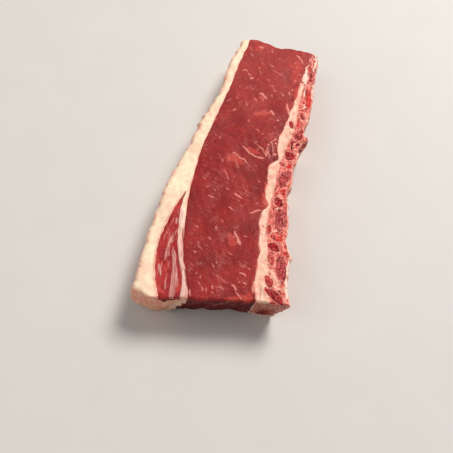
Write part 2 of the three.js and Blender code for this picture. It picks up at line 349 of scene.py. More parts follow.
def slab_point(x, v, w):
    """The points at x, v and w, as an array with x, y, z in its last axis.

    y runs from the near to the far face. z runs from the resting to the upper face, less the rounding of
    the four outer edges, plus a slow wave and the face's relief."""
    near = near_face(x, w)
    far = far_face(x, w)
    y = lerp(near, far, v)
    corner = near_radius(x)
    drop = (
        rounding(x - fat_edge(v, w), FAT_EDGE_RADIUS)
        + rounding(rib_edge(v, w) - x, RIB_EDGE_RADIUS)
        + rounding(y - near, corner)
        + rounding(far - y, END_EDGE_RADIUS)
    )
    across = np.sin(2 * np.pi * (x + WAVE_START_X) / WAVE_LENGTH_X)
    wave = FACE_WAVE * across * np.sin(2 * np.pi * y / WAVE_LENGTH_Y)
    top = np.minimum(THICKNESS + wave - drop + face_relief(x, y, v), HIGHEST)
    foot = FOOT_SHARE * drop + UNDERSIDE_BUMPS * (1 + ripples(34, 5, x, y)).clip(0)
    return np.stack(np.broadcast_arrays(x, y, lerp(foot, top, w)), axis=-1)


print("the middle of the near upper edge:", slab_point(np.array(0.0), np.array(0.0), np.array(1.0)).round(1))

# %% [markdown]
# ## From rings of points to a closed mesh
#
# Every piece of this roast is a tube: a closed section carried along a path. The three long pieces are
# sections carried along the slab, and a bone is a section carried up it. Blender could sweep or loft these,
# but a grid of points worked out by one formula keeps neighbours' seams exact. At both ends the section
# shrinks towards its middle, which makes the end face, and one small flat polygon closes it.

# %% Rings to mesh
def ring_mesh(name, rings, **marks):
    """A closed mesh from rings[i, j], point j of ring i, in millimetres.

    Neighbouring rings are joined by quads, and the first and the last ring are each closed by a polygon.
    Each keyword is a value for each point, kept as an attribute of that name for the finish to read."""
    count, around = rings.shape[:2]
    index = np.arange(count * around).reshape(count, around)
    following = np.roll(index, -1, axis=1)
    quads = np.stack([index[:-1], following[:-1], following[1:], index[1:]], axis=-1).reshape(-1, 4)
    loops = np.concatenate([quads.ravel(), index[0][::-1], index[-1]])
    starts = np.concatenate([np.arange(len(quads)) * 4, [quads.size, quads.size + around]])
    points = rings.reshape(-1, 3) * MM
    if enclosed_volume(points, quads) < 0:
        loops = np.concatenate([quads[:, ::-1].ravel(), index[0], index[-1][::-1]])
    mesh = bpy.data.meshes.new(name)
    mesh.vertices.add(len(points))
    mesh.vertices.foreach_set("co", points.astype(np.float32).ravel())
    mesh.loops.add(len(loops))
    mesh.loops.foreach_set("vertex_index", loops.astype(np.int32))
    mesh.polygons.add(len(starts))
    mesh.polygons.foreach_set("loop_start", starts.astype(np.int32))
    mesh.update(calc_edges=True)
    mesh.shade_smooth()
    for mark, values in marks.items():
        attribute = mesh.attributes.new(mark, "FLOAT", "POINT")
        values = np.broadcast_to(values, (count, around)).astype(np.float32)
        attribute.data.foreach_set("value", values.ravel())
    piece = bpy.data.objects.new(name, mesh)
    bpy.context.scene.collection.objects.link(piece)
    print(f"{name}: {2 * len(quads)} triangles")
    return piece


def enclosed_volume(points, quads):
    """Six times the signed volume: the triple products of each quad's two triangles, added up."""
    a, b, c, d = (points[quads[:, k]] for k in range(4))
    return np.einsum("ij,ij->", a, np.cross(b, c)) + np.einsum("ij,ij->", a, np.cross(c, d))


# %% The path of a long piece
ROWS = 430
END_ROWS_MM = np.array([0, 0.1, 0.4, 0.9, 1.5, 2.2])
CAP_RINGS = 20
CAP_LEFT_OPEN = 0.04


def lengthwise_rings(rows=ROWS):
    """v and shrink of each ring: shrinking out over the near face, along the slab, and in over the far face.

    The rows lie close together where the end faces round over into the long ones."""
    ends = END_ROWS_MM / LENGTH
    middle = np.linspace(ends[-1], 1 - ends[-1], rows)
    along = np.concatenate([ends[:-1], middle, 1 - ends[:-1][::-1]])
    shrink = np.linspace(1 - CAP_LEFT_OPEN, 0, CAP_RINGS, endpoint=False)
    v = np.concatenate([np.zeros(CAP_RINGS), along, np.ones(CAP_RINGS)])
    s = np.concatenate([shrink, np.zeros(len(along)), shrink[::-1]])
    return v[:, None], s[:, None]


def around_section(top, right, bottom, left, crowd_left=1.0, crowd_right=1.0):
    """u and w once round a section's four sides, as shares across and up.

    Along the cut faces a share t across becomes t to the power crowd_left, or 1 - (1 - t) to the power
    crowd_right, so that the points crowd towards a rounded edge."""
    def crowd(t):
        return t**crowd_left if crowd_left > 1 else 1 - (1 - t) ** crowd_right

    there, down, back, up = (np.arange(count) / count for count in (top, right, bottom, left))
    u = np.concatenate([crowd(there), np.ones(right), crowd(1 - back), np.zeros(left)])
    w = np.concatenate([np.ones(top), 1 - down, np.zeros(bottom), up])
    return u, w


def lengthwise(left_line, right_line, section, rows=ROWS):
    """Rings of a long piece between two lines of the slab, and its u, v and w at every point.

    A shrunken ring has its u and w drawn towards the middle of the section."""
    v, shrink = lengthwise_rings(rows)
    u, w = (0.5 + (share - 0.5) * (1 - shrink) for share in section)
    v = np.broadcast_to(v, u.shape)
    x = lerp(left_line(v, w), right_line(v, w), u)
    return slab_point(x, v, w), u, v, w


# %% [markdown]
# ## Marks
#
# A streak of marbling, a patch of brighter meat or a red spot in the fat has a place, so it can't come from
# a random texture. Each is a strand: a bent line through a few points, with a width. Its strength is stored
# on the mesh, and the finish later roughens its outline with noise. A blot is just a short, wide strand.

# %% Strength of strands
WANDER = 0.35
WIDTH_CHANGE = 0.3


def strands(rows, x, y, bends=2.6):
    """The strongest of several strands at each point: 1 on its line, 0.5 on its outline, 0 well outside.

    A row is a width and the points of a bent line. The strength is 1 minus the distance to the line over
    the width. The width narrows towards both ends of the line as a flat arc does, and it and the line
    itself wander a little, in bends of that many mm."""
    width_change = 1 + WIDTH_CHANGE * ripples(37, 1.2 * bends, x, y)
    x, y = x + WANDER * ripples(35, bends, x, y), y + WANDER * ripples(36, bends, x, y)
    strongest = np.full(np.broadcast(x, y).shape, -1.0)
    for width, *line in rows:
        pieces = len(line) - 1
        for number, (start, end) in enumerate(zip(line, line[1:])):
            step_x, step_y = end[0] - start[0], end[1] - start[1]
            share = ((x - start[0]) * step_x + (y - start[1]) * step_y) / (step_x**2 + step_y**2)
            share = np.clip(share, 0, 1)
            distance = np.hypot(x - start[0] - share * step_x, y - start[1] - share * step_y)
            along = (number + share) / pieces
            narrowing = 0.2 + 0.8 * (1 - (2 * along - 1) ** 2) ** 0.75
            strongest = np.maximum(strongest, 1 - distance / (width * narrowing * width_change))
    return strongest


def painted(tables, x, y, top, bends=2.6):
    """The strength of each table's strands under the table's name, where top is 1."""
    return {name: strands(rows, x, y, bends) * top for name, rows in tables.items()}


def add_mark(marks, name, strength):
    """Makes a mark at least as strong as strength."""
    marks[name] = np.maximum(marks[name], strength)


def standing(marks, heights):
    """How far the marks raise the surface, in mm: the strength of each times its height, added up."""
    return sum(height * marks[name].clip(0) for name, height in heights.items())


print("on the line of a strand:", strands([(2, (0, 0), (4, 0))], np.array(2.0), np.array(0.0)).round(2))

# %% [markdown]
# ## Shader sums as Python
#
# A finish is a graph of nodes, and long graphs are hard to read as code. This small class wraps a socket so
# that Python's own operators add the Math nodes. One method makes every other node.

# %% A socket that does sums
class Wire:
    """A node's output. Sums on it add Math nodes to the same finish."""

    def __init__(self, finish, socket):
        self.finish = finish
        self.socket = socket

    def math(self, operation, *values):
        return self.finish.node("ShaderNodeMath", {"operation": operation}, dict(enumerate(values)))

    def __add__(self, other):
        return self.math("ADD", self, other)

    def __sub__(self, other):
        return self.math("SUBTRACT", self, other)

    def __mul__(self, other):
        return self.math("MULTIPLY", self, other)

    def __rsub__(self, other):
        return self.math("SUBTRACT", other, self)

    __radd__ = __add__
    __rmul__ = __mul__

    def most(self, other):
        return self.math("MAXIMUM", self, other)

    def step(self, low, high):
        """0 below low, 1 above high, and an S-shaped step between them."""
        settings = {"interpolation_type": "SMOOTHSTEP"}
        values = {"Value": self, "From Min": low, "From Max": high}
        return self.finish.node("ShaderNodeMapRange", settings, values)


def srgb(red, green, blue):
    """A colour as it looks on a screen, 0 to 255, turned into the linear values that a shader wants."""
    share = np.array([red, green, blue]) / 255
    linear = np.where(share <= 0.04045, share / 12.92, ((share + 0.055) / 1.055) ** 2.4)
    return (*linear, 1.0)


# %% A finish and its nodes
class Finish:
    """A material whose nodes are added one by one."""

    def __init__(self, name):
        self.material = bpy.data.materials.new(name)
        self.material.use_nodes = True
        self.tree = self.material.node_tree
        self.tree.nodes.clear()
        inside = self.node("ShaderNodeTexCoord", output="Object")
        millimetres = {"Vector": inside, "Scale": 1 / MM}
        self.place = self.node("ShaderNodeVectorMath", {"operation": "SCALE"}, millimetres)

    def node(self, kind, settings=None, values=None, output=0):
        """Adds a node: its settings first, then its sockets' values or links. Returns one output."""
        made = self.tree.nodes.new(kind)
        for name, setting in (settings or {}).items():
            setattr(made, name, setting)
        for name, value in (values or {}).items():
            if isinstance(value, Wire):
                self.tree.links.new(value.socket, made.inputs[name])
            else:
                made.inputs[name].default_value = value
        return Wire(self, made.outputs[output]) if made.outputs else None

    def mark(self, name):
        """The strength of a mark, as stored on the mesh."""
        return self.node("ShaderNodeAttribute", {"attribute_name": name}, output="Fac")

    def noise(self, size, detail=2.0, roughness=0.5, place=None):
        """Noise from 0 to 1, with blotches about size mm across."""
        values = {"Vector": place or self.place, "Scale": 1 / size, "Detail": detail, "Roughness": roughness}
        return self.node("ShaderNodeTexNoise", {}, values)

    def stretched(self, long, wide, deep, turn=0, tilt=0):
        """The place in a grid tilted about X, turned about Z and measured in lengths, widths, depths."""
        values = {
            "Vector": self.place,
            "Rotation": (math.radians(tilt), 0, math.radians(turn)),
            "Scale": (long, wide, deep),
        }
        return self.node("ShaderNodeMapping", {"vector_type": "TEXTURE"}, values)

    def streaks(self, long, wide, deep, turn=0, tilt=0, **noise):
        """Noise from 0 to 1 in streaks of that length, width and depth in mm."""
        return self.noise(1, place=self.stretched(long, wide, deep, turn, tilt), **noise)

    def warped(self, place, pitch, strength):
        """A place pushed about by coloured noise, with a frequency of pitch to the mm."""
        push = self.node("ShaderNodeTexNoise", {}, {"Vector": self.place, "Scale": pitch}, "Color")
        values = {0: push, 1: (strength, strength, strength), 2: place}
        return self.node("ShaderNodeVectorMath", {"operation": "MULTIPLY_ADD"}, values)

    def channel(self, colour):
        """The red part of a colour, as a number."""
        return self.node("ShaderNodeSeparateColor", {}, {"Color": colour}, "Red")

    def cells(self, place, output="Distance", feature="F1"):
        """A Voronoi pattern, one cell to each unit of place."""
        values = {"Vector": place, "Scale": 1.0}
        return self.node("ShaderNodeTexVoronoi", {"feature": feature}, values, output)

    def mix(self, share, first, second):
        """first where share is 0, second where it is 1. Each is a Wire or a screen colour."""
        values = {0: share, 6: first, 7: second}
        values.update({key: srgb(*value) for key, value in values.items() if isinstance(value, tuple)})
        return self.node("ShaderNodeMix", {"data_type": "RGBA"}, values, output=2)

    def bump(self, height, distance):
        """A normal from a height of 0 to 1 that stands for distance mm."""
        values = {"Height": height, "Strength": 1.0, "Distance": distance * MM}
        return self.node("ShaderNodeBump", {}, values)

    def surface(self, **values):
        """Ends the graph with a Principled shader. Underscores in the names stand for spaces."""
        values = {name.replace("_", " "): value for name, value in values.items()}
        shader = self.node("ShaderNodeBsdfPrincipled", {}, values, output="BSDF")
        self.node("ShaderNodeOutputMaterial", {}, {"Surface": shader})
        print("finish", self.material.name, "has", len(self.tree.nodes), "nodes")
        return self.material


# %% [markdown]
# ## Lean meat
#
# Raw beef is a clear deep red with no single colour: it drifts from purplish to orange red over a few
# centimetres, its fibres show as fine dashes, and marbling crosses it as thin pale flecks that nearly all
# run one way. It is moist, so a thin clear coat lies over it, and light goes a little way in.

# %% Lean finish
FIBRE_TURN = -32
# The dark colour is painted shade in sunk gaps, and the end colour is painted shade on the near face.
LEAN = {
    "paler": (200, 84, 78), "bright": (205, 71, 60), "halo": (204, 92, 84), "film": (236, 156, 138),
    "dark": (100, 16, 20), "end": (92, 6, 9),
}


def lean(name, reds, marbling, turn=FIBRE_TURN, flecks=1.0, hairs=3.2, soft=0.0):
    """Red meat: three reds blended by noise, darker fibres and pale flecks along one direction.

    flecks scales the flecks, hairs is the length of the bristles that break up a streak's outline, and soft
    is 0 for a ragged outline and 1 for streaks that fade out sideways."""
    f = Finish(name)
    deep, middle, bright = reds
    drift = f.noise(24, detail=3.0)
    mottle = f.noise(2.6, detail=4.0, roughness=0.6)
    fibre = f.streaks(7, 0.8, 2.5, turn - 8)
    hair = f.streaks(hairs, lerp(0.8, 1.3, soft), 1.5, turn, detail=3.0, roughness=0.6) - 0.5
    crumb = f.noise(0.8, detail=3.0, roughness=0.7) - 0.5
    ragged = f.noise(3, detail=4.0, roughness=0.7) - 0.5

    # The red itself.
    colour = f.mix((drift + 0.8 * (mottle - 0.5)).step(0.3, 0.66), deep, middle)
    colour = f.mix((mottle + 0.6 * (drift - 0.5)).step(0.5, 0.8) * 0.6, colour, bright)
    colour = f.mix(f.mark("paler") * 0.35, colour, LEAN["paler"])
    bright_here = (f.mark("bright") + 1.2 * ragged).step(0.05, 0.8)
    colour = f.mix(bright_here * 0.7, colour, LEAN["bright"])
    colour = f.mix(fibre.step(0.48, 0.72) * 0.45, colour, deep)

    # Marbling: a haze of dashes, scattered spots, and the marked streaks with a soft halo.
    dashes = f.streaks(6.5, 0.9, 2.2, turn, detail=3.0, roughness=0.65)
    crowd = f.noise(13, detail=1.0) - 0.5
    haze = (dashes + 0.45 * crowd + 0.06 * bright_here).step(0.58, 0.78) * (0.45 * flecks)
    grid = f.warped(f.stretched(11, 2.8, 6, turn - 6), 0.3, 0.9)
    chance = f.channel(f.cells(grid, "Color")).step(0.6, 0.95)
    spots = (1 - (f.cells(grid) + 0.5 * crumb).step(0.03, 0.2)) * chance * (0.6 * flecks)
    rough = lerp(1.3, 2.4, soft) * hair + lerp(0.5, 0.1, soft) * crumb
    faint = (f.mark("faint") + rough).step(lerp(0.35, 0.2, soft), lerp(1.0, 1.2, soft)) * 0.6
    strong = (f.mark("pale") + rough).step(lerp(0.28, 0.0, soft), lerp(0.85, 1.05, soft)) * 0.8
    near_streak = f.mark("pale").most(f.mark("faint") * 0.8).most(f.mark("film"))
    colour = f.mix(near_streak.step(-0.15, 0.6) * 0.3, colour, LEAN["halo"])
    pale = haze.most(spots).most(faint).most(strong)
    colour = f.mix(pale, colour, marbling)

    # Membrane, dark red painted into the sunk gaps as their shade, and the near face painted darker as
    # shade.
    film = (f.mark("film") + 0.9 * hair + 0.5 * crumb).step(0.4, 0.9)
    colour = f.mix(film * 0.75, colour, LEAN["film"])
    gap_shade = (f.mark("dark") + 0.8 * crumb + 0.6 * ragged).step(0.35, 1.0)
    colour = f.mix(gap_shade * 0.65, colour, LEAN["dark"])
    colour = f.mix(f.mark("end") * (0.85 - 0.6 * film), colour, LEAN["end"])
    return f.surface(
        Base_Color=colour,
        Roughness=mottle * 0.25 + 0.42,
        Normal=f.bump(mottle * 0.4 + fibre * 0.35 + pale * 0.25, 0.4),
        Subsurface_Weight=0.2,
        Subsurface_Radius=(1.0, 0.2, 0.15),
        Subsurface_Scale=0.001,
        Specular_IOR_Level=0.15,
        Coat_Weight=0.04,
        Coat_Roughness=0.25,
    )


EYE_REDS = ((130, 31, 33), (157, 41, 40), (180, 58, 52))
CAP_REDS = ((148, 34, 40), (182, 50, 50), (210, 70, 64))
EYE_MEAT = lean("eye_meat", EYE_REDS, (238, 152, 140))
CAP_MEAT = lean("cap_meat", CAP_REDS, (228, 172, 162), turn=-76, flecks=1.3, hairs=12, soft=1.0)

# %% [markdown]
# ## Fat
#
# Beef fat is cream, a little yellower in thick places and pink where a thin film of meat or blood lies on
# it. It is soft and translucent: light scatters a few millimetres through it, and that rounds every edge.

# %% Fat finish
FAT = {
    "cream": ((255, 234, 202), (250, 214, 186)), "rose": (244, 190, 164), "pink": (236, 152, 134),
    "film": (212, 138, 126), "white": (238, 194, 182), "dark": (148, 52, 48), "speck": (176, 130, 104),
    "cut": ((240, 148, 120), (254, 188, 158)), "skin": ((250, 208, 182), (228, 144, 124)),
}


def fat(name):
    """Cream fat, mottled, with pink, film, white and dark lines, a cut end and a skin by its marks."""
    f = Finish(name)
    drift = f.noise(17, detail=3.0)
    grain = f.noise(2.2, detail=4.0, roughness=0.6)
    edge = f.noise(1.8, detail=4.0, roughness=0.65) - 0.5
    blush = f.noise(10, detail=3.0) - 0.5
    thread = f.streaks(6, 0.9, 3, turn=-71, detail=3.0, roughness=0.6) - 0.5
    colour = f.mix((drift + 0.5 * (grain - 0.5)).step(0.36, 0.64), *FAT["cream"])
    colour = f.mix(f.noise(7, detail=2.0).step(0.54, 0.74) * 0.4, colour, FAT["rose"])
    colour = f.mix((f.mark("pink") + 0.7 * edge + 1.2 * blush).step(0.15, 1.0), colour, FAT["pink"])
    film = (f.mark("film") + 1.6 * thread + 0.6 * edge).step(0.2, 0.95)
    colour = f.mix(film * 0.8, colour, FAT["film"])
    colour = f.mix((f.mark("white") + 1.0 * thread + 0.5 * edge).step(0.25, 0.8), colour, FAT["white"])
    colour = f.mix((f.mark("dark") + 0.25 * edge).step(0.1, 0.7) * 0.9, colour, FAT["dark"])

    # A few brown specks, the fringed near face, whose orange cut colours are partly the cut fat and partly
    # painted warm shade, and the skin side with its pink web.
    specks = f.warped(f.stretched(9, 9, 9), 0.3, 0.5)
    rare = f.channel(f.cells(specks, "Color")).step(0.7, 0.8)
    colour = f.mix((1 - f.cells(specks).step(0.03, 0.07)) * rare * 0.5, colour, FAT["speck"])
    cut = f.mix((f.streaks(3, 12, 12) + 0.8 * edge).step(0.36, 0.64), *FAT["cut"])
    colour = f.mix(f.mark("end") * 0.85, colour, cut)
    web = f.streaks(9, 24, 5, turn=-4, detail=4.0, roughness=0.6) + 0.3 * blush
    skin = f.mix(web.step(0.34, 0.66), *FAT["skin"])
    colour = f.mix((f.mark("skin") + 0.4 * edge).step(0.2, 0.8) * 0.9, colour, skin)
    return f.surface(
        Base_Color=colour,
        Roughness=0.38 + grain * 0.25,
        Normal=f.bump(grain, 0.22),
        Subsurface_Weight=0.3,
        Subsurface_Radius=(1.0, 0.5, 0.3),
        Subsurface_Scale=0.0018,
        Specular_IOR_Level=0.35,
        Coat_Weight=0.08,
        Coat_Roughness=0.2,
    )


CAP_FAT = fat("cap_fat")

# %% [markdown]
# ## The tissue of the rib side
#
# Fat, membrane, muscle and bone are grown together here, and no line between them is clean. So one finish
# covers them all, and marks on the meshes say how much of each there is. Noise pushes every outline about,
# by more for a bone than for a muscle. A sawn rib is spongy: dark red marrow in the holes of a pale net.

# %% Rib-side finish
TISSUE = {
    "tissue": ((200, 68, 64), (232, 126, 112)), "streak": (248, 188, 166),
    "cream": ((248, 204, 178), (238, 166, 148)), "rosy": ((166, 40, 44), (204, 74, 68)),
    "red": ((186, 20, 24), (228, 62, 54)), "crimson": ((128, 12, 22), (196, 38, 42)),
    "marrow": ((124, 18, 30), (186, 44, 50)), "net": (242, 146, 136), "pink": (248, 158, 140),
    "film": (202, 136, 122), "white": (252, 214, 196), "dark": (64, 12, 14),
    "side_meat": ((150, 36, 38), (190, 66, 60)), "strings": (232, 156, 138),
    "sheath": ((246, 196, 172), (234, 160, 140)),
    "cut": ((150, 70, 58), (214, 140, 120)), "cut_meat": (146, 42, 34), "cut_hem": (255, 226, 206),
}
RIMS = {
    "rosy": (246, 184, 162), "red": (244, 160, 142), "crimson": (246, 176, 158), "bone": (246, 172, 152),
}


def rib_tissue(name):
    """Salmon tissue and cream fat, overlaid with three reds of muscle, bone net, membranes, and pits painted
    near black as shade.
    """
    f = Finish(name)
    grain = f.noise(2.0, detail=3.0)
    patch = f.noise(4.2, detail=3.0)
    crumb = f.noise(1.2, detail=4.0, roughness=0.7) - 0.5
    ragged = f.noise(3, detail=3.0, roughness=0.6) - 0.5
    streak = f.streaks(8, 1.2, 8, turn=82, detail=3.0)
    across = f.streaks(4.5, 1.0, 9, turn=-35)

    def over(under, mark, colour, wobble=1.0, low=0.4, high=0.62, rim=None):
        """Lays a colour over another where a mark is strong, with a ragged edge and perhaps a pale rim."""
        edge = f.mark(mark) + wobble * (0.4 * crumb + ragged)
        if rim:
            under = f.mix(edge.step(0.05, 0.35) * 0.75, under, rim)
        return f.mix(edge.step(low, high), under, colour)

    # The upper face: tissue and fat, then muscle, then bone.
    colour = f.mix((patch + 0.4 * (grain - 0.5)).step(0.38, 0.66), *TISSUE["tissue"])
    colour = f.mix(streak.step(0.54, 0.74) * 0.6, colour, TISSUE["streak"])
    cream = f.mix((f.noise(6, detail=3.0) + 0.3 * (grain - 0.5)).step(0.42, 0.68), *TISSUE["cream"])
    colour = over(colour, "cream", cream, wobble=1.2, low=0.2, high=0.95)
    muscles = [
        ("rosy", grain.step(0.35, 0.65), 0.4, 0.7),
        ("red", streak.step(0.4, 0.62), 0.25, 0.6),
        ("crimson", across.step(0.44, 0.62), 0.25, 0.62),
    ]
    for mark, pattern, low, high in muscles:
        colour = over(colour, mark, f.mix(pattern, *TISSUE[mark]), low=low, high=high, rim=RIMS[mark])
    holes = f.warped(f.stretched(3.0, 2.2, 3.6, 70), 0.5, 1.8)
    wall = 1 - f.cells(holes, feature="DISTANCE_TO_EDGE").step(0.02, 0.2)
    net = wall * (patch + 1.0 * crumb).step(0.34, 0.56)
    marrow = f.mix(net * 0.6, f.mix(grain.step(0.35, 0.65), *TISSUE["marrow"]), TISSUE["net"])
    colour = over(colour, "bone", marrow, wobble=1.1, low=0.2, high=0.5, rim=RIMS["bone"])
    colour = over(colour, "pink", TISSUE["pink"], wobble=1.2, high=0.85)
    colour = f.mix((f.mark("film") + crumb + ragged).step(0.3, 0.9) * 0.6, colour, TISSUE["film"])
    colour = over(colour, "white", TISSUE["white"], wobble=0.8, low=0.35, high=0.7)

    # The rib side: slanting muscle between the ribs, and a sheath over each rib.
    fibres = f.streaks(4, 1.1, 14, tilt=24, detail=3.0)
    meat = f.mix((fibres + 0.3 * ragged).step(0.38, 0.62), *TISSUE["side_meat"])
    strings = f.warped(f.stretched(9, 3.0, 26, tilt=16), 0.07, 1.2)
    strings = f.noise(1, detail=3.0, roughness=0.6, place=strings) + 0.5 * ragged
    meat = f.mix(strings.step(0.58, 0.74) * 0.6, meat, TISSUE["strings"])
    colour = over(colour, "wall", meat)
    sheath = f.mix((f.noise(9, detail=2.0) + 0.2 * crumb).step(0.4, 0.66), *TISSUE["sheath"])
    colour = over(colour, "over_rib", sheath, wobble=0.7)

    # The near face, with a pale hem at its foot, and the pits, painted near black as their shade.
    cut = f.mix((grain + 1.2 * ragged).step(0.35, 0.65), *TISSUE["cut"])
    cut = over(cut, "crimson", TISSUE["cut_meat"], low=0.3, high=0.8)
    cut = f.mix(f.mark("white"), cut, TISSUE["cut_hem"])
    colour = f.mix((f.mark("end") + 0.4 * crumb).step(0.3, 0.8) * 0.9, colour, cut)
    colour = over(colour, "dark", TISSUE["dark"], high=0.75)
    return f.surface(
        Base_Color=colour,
        Roughness=0.34 + grain * 0.26,
        Normal=f.bump(grain * 0.5 + streak * 0.2 + net * f.mark("bone") * 0.3, 0.3),
        Subsurface_Weight=0.2,
        Subsurface_Radius=(1.0, 0.4, 0.3),
        Subsurface_Scale=0.0012,
        Specular_IOR_Level=0.18,
        Coat_Weight=0.06,
        Coat_Roughness=0.2,
    )


RIB_TISSUE = rib_tissue("rib_tissue")

# %% [markdown]
# ## The eye
#
# The eye is the whole middle of the slab. Its upper face carries the marbling that makes this roast this
# roast: brighter patches with a pale rim, and pale streaks.

# %% Marks on the eye
# Each row: width, then the points of the strand as (x, y).
EYE_STREAKS = [
    (3.9, (-22, 163.5), (-15.5, 163.5)), (2.6, (24.5, 160.5), (31.5, 155), (35, 147.5)),
    (1.8, (-3.5, 138), (3.5, 134)), (1.8, (-32.5, 121), (-29, 124), (-26, 121.5)),
    (2.1, (-21.5, 111), (-16, 112.5)), (2.5, (-6, 89), (-2.5, 90.5), (1.5, 87.5), (5, 83.5)),
    (2.1, (12, 69), (14, 66), (18, 61)), (2.4, (22, 54.5), (23.5, 56.5)),
    (2.5, (27.5, 81.5), (31, 73), (33, 66)),
    (1.8, (-7, 12), (-2.5, 8.5), (3, 3.5), (9, 1), (14.5, 0), (20, 1)),
    (1.8, (-15.5, 0.5), (-11, -0.5), (-6, -4), (-1, -6), (4, -9.5), (7, -13.5)),
    (1.4, (-2.5, -48), (3, -51), (9, -53)), (1.5, (-26.5, -57), (-19.5, -59)),
    (1.6, (-3.5, -66), (2.5, -69.5)), (1.5, (17.5, -69), (21, -67.5), (24.5, -64), (30, -61.5)),
    (2.7, (8, -90.5), (11.5, -94.5), (14.5, -99), (17, -102.5), (18.5, -105.5)),
    (1.1, (17.5, -93.5), (23.5, -95.5)), (2.9, (20, -145.5), (23, -148.5), (25, -150.5)),
    (1.1, (24, -151), (28.5, -154.5), (32.5, -158)), (1.4, (2, -150.5), (4.5, -154.5)),
    (1.4, (9, -150), (14.5, -153)), (1.4, (23.5, -133), (28, -133), (31, -136)),
    (1.4, (29, -141.5), (33.5, -143)), (1.4, (-16.5, -159), (-13.5, -165.5)),
    (1.7, (-8, -91), (-10.5, -91.5)), (3.4, (38.5, -138), (40.5, -149)),
]
EYE_FAINT = [
    (1.5, (-32, 161.5), (-28.5, 156)), (2.2, (-29, 150.5), (-24.5, 146)),
    (1.9, (-7, 164.5), (-3.5, 158.5)), (1.4, (0, 130.5), (9, 126), (19.5, 121)),
    (2.1, (-25.5, 120), (-19.5, 113.5)), (1.7, (-12.5, 110.5), (-10.5, 110.5)),
    (1.6, (-1.5, 114), (2, 111.5)), (2.1, (4, 106.5), (9.5, 102.5)), (2.1, (8, 101), (13, 96.5)),
    (1.7, (7.5, 92), (11, 87.5)), (2.3, (20, 94), (23, 93)), (1.7, (-9.5, 82.5), (-5, 76.5)),
    (1.8, (-17.5, 75), (-14.5, 67.5)), (1.7, (-29.5, 56.5), (-25, 61.5)), (1.9, (-29.5, 79), (-26.5, 76)),
    (1.7, (-39, 69), (-34, 75.5)), (1.9, (-9, 49.5), (-7, 44.5)), (1.9, (-35.5, 18), (-30.5, 16)),
    (1.7, (2.5, 38), (7, 34.5)), (1.7, (9, 33.5), (12, 31.5)),
    (1.5, (2.5, 20.5), (8, 16.5), (14, 13), (17, 9), (20, 3)), (1.3, (4.5, 22.5), (8.5, 19)),
    (1.6, (-23, -9), (-22.5, -14)), (1.6, (-10, -9.5), (-6.5, -13), (-4.5, -17)),
    (1.3, (-18.5, -21), (-14.5, -27.5), (-10, -34.5)), (1.4, (18.5, -28), (23, -29.5)),
    (1.4, (-11, -44.5), (-7, -46.5)), (1.6, (7.5, -61), (11, -63)), (1.4, (22, -57), (26, -53.5)),
    (2.2, (-30.5, -49), (-28, -46.5)), (1.6, (-22.5, -48.5), (-19.5, -51)), (1.4, (-7, -81), (-3, -85.5)),
    (1.6, (-10.5, -91), (-6.5, -94.5)), (1.5, (-5, -97.5), (-2, -99.5)), (1.3, (-14, -103.5), (-10, -106)),
    (1.7, (-29, -94.5), (-25, -95)), (1.2, (-1.5, -105.5), (0.5, -103.5), (3, -106.5)),
    (1.1, (19, -121.5), (23.5, -124)), (1.5, (8.5, -113.5), (13.5, -117.5)),
    (1.2, (-22, -109), (-19.5, -115), (-14.5, -118.5)), (1.7, (-23, -120.5), (-20, -123.5)),
    (1.3, (-3, -129), (0, -133)), (1.5, (-15, -143.5), (-13, -141.5)),
    (1.6, (-11.5, -144.5), (-9, -146.5)), (1.2, (-10.5, -148.5), (-9, -153)),
    (1.1, (-1, -137), (4.5, -140.5), (10, -143), (17.5, -145.5)), (1.3, (3, -156.5), (6.5, -158)),
    (1.3, (24, -141.5), (27.5, -142)), (1.6, (30.5, -126), (33, -127.5)),
    (1.1, (-6, -153.5), (-3.5, -159)), (1.1, (-2.5, -153), (-0.5, -158)), (1.4, (0, -125.5), (2, -128)),
    (1.9, (24, 148), (27, 146.5)), (1.8, (5.5, 151.5), (7.5, 148.5)), (1.7, (-13.5, 140), (-11, 137)),
    (1.7, (-15, 131), (-12.5, 128.5)), (1.9, (33, 131), (36, 129)), (2.1, (29.5, 121), (33, 117.5)),
    (1.7, (-36, 149), (-33.5, 146)),
]
EYE_BRIGHT = [
    (8.5, (-25.5, 157.5), (-18, 163)), (6.2, (-3.5, 84), (2, 86)), (6.1, (-4.5, 58), (3.5, 62), (13, 65)),
    (5.8, (-1.5, 10.5), (5.5, 7), (13.5, 6)), (9.4, (-18.5, -10.5), (-12, -6), (-1, -11)),
    (8.6, (5, -94.5), (9, -101.5), (12.5, -107)), (7.1, (31.5, -155), (40.5, -154)),
    (13, (27.5, 150), (32.5, 134)), (4.5, (27, -29), (30, -45), (31, -58)), (7, (28, 143.5), (31.5, 114)),
    (5.5, (35.5, 112), (35, 98), (35, 90)), (4, (17, -161), (26, -158), (34, -154), (40, -150.5)),
]
# Gaps, sunk and painted dark red as their shade.
EYE_DARK = [
    (2.2, (33, 3.5), (32, 7.5)), (2.4, (34.5, 60.5), (32, 54), (28, 49)), (2.9, (31, 60), (34, 62.5)),
    (1.3, (-39.5, 12), (-35, 8)), (1.3, (-23, -39), (-13, -44)), (1.6, (1.5, -48.5), (3, -49)),
    (1, (19.5, -95.5), (24, -97)), (4.8, (22, 18.5), (26, 5.5)), (3.4, (28.5, 16.5), (30.5, 11)),
    (4.2, (27, 2.5), (32, 0.5)), (2.4, (26.5, 33.5), (28, 29)), (3.4, (32.5, 95), (32, 87)),
    (1.8, (34, 73), (35.5, 65.5)), (1.9, (37.5, -106.5), (38.5, -109.5)), (2.3, (30, 113), (35, 112.5)),
    (1.5, (1, -106.5), (2, -107.5)),
]
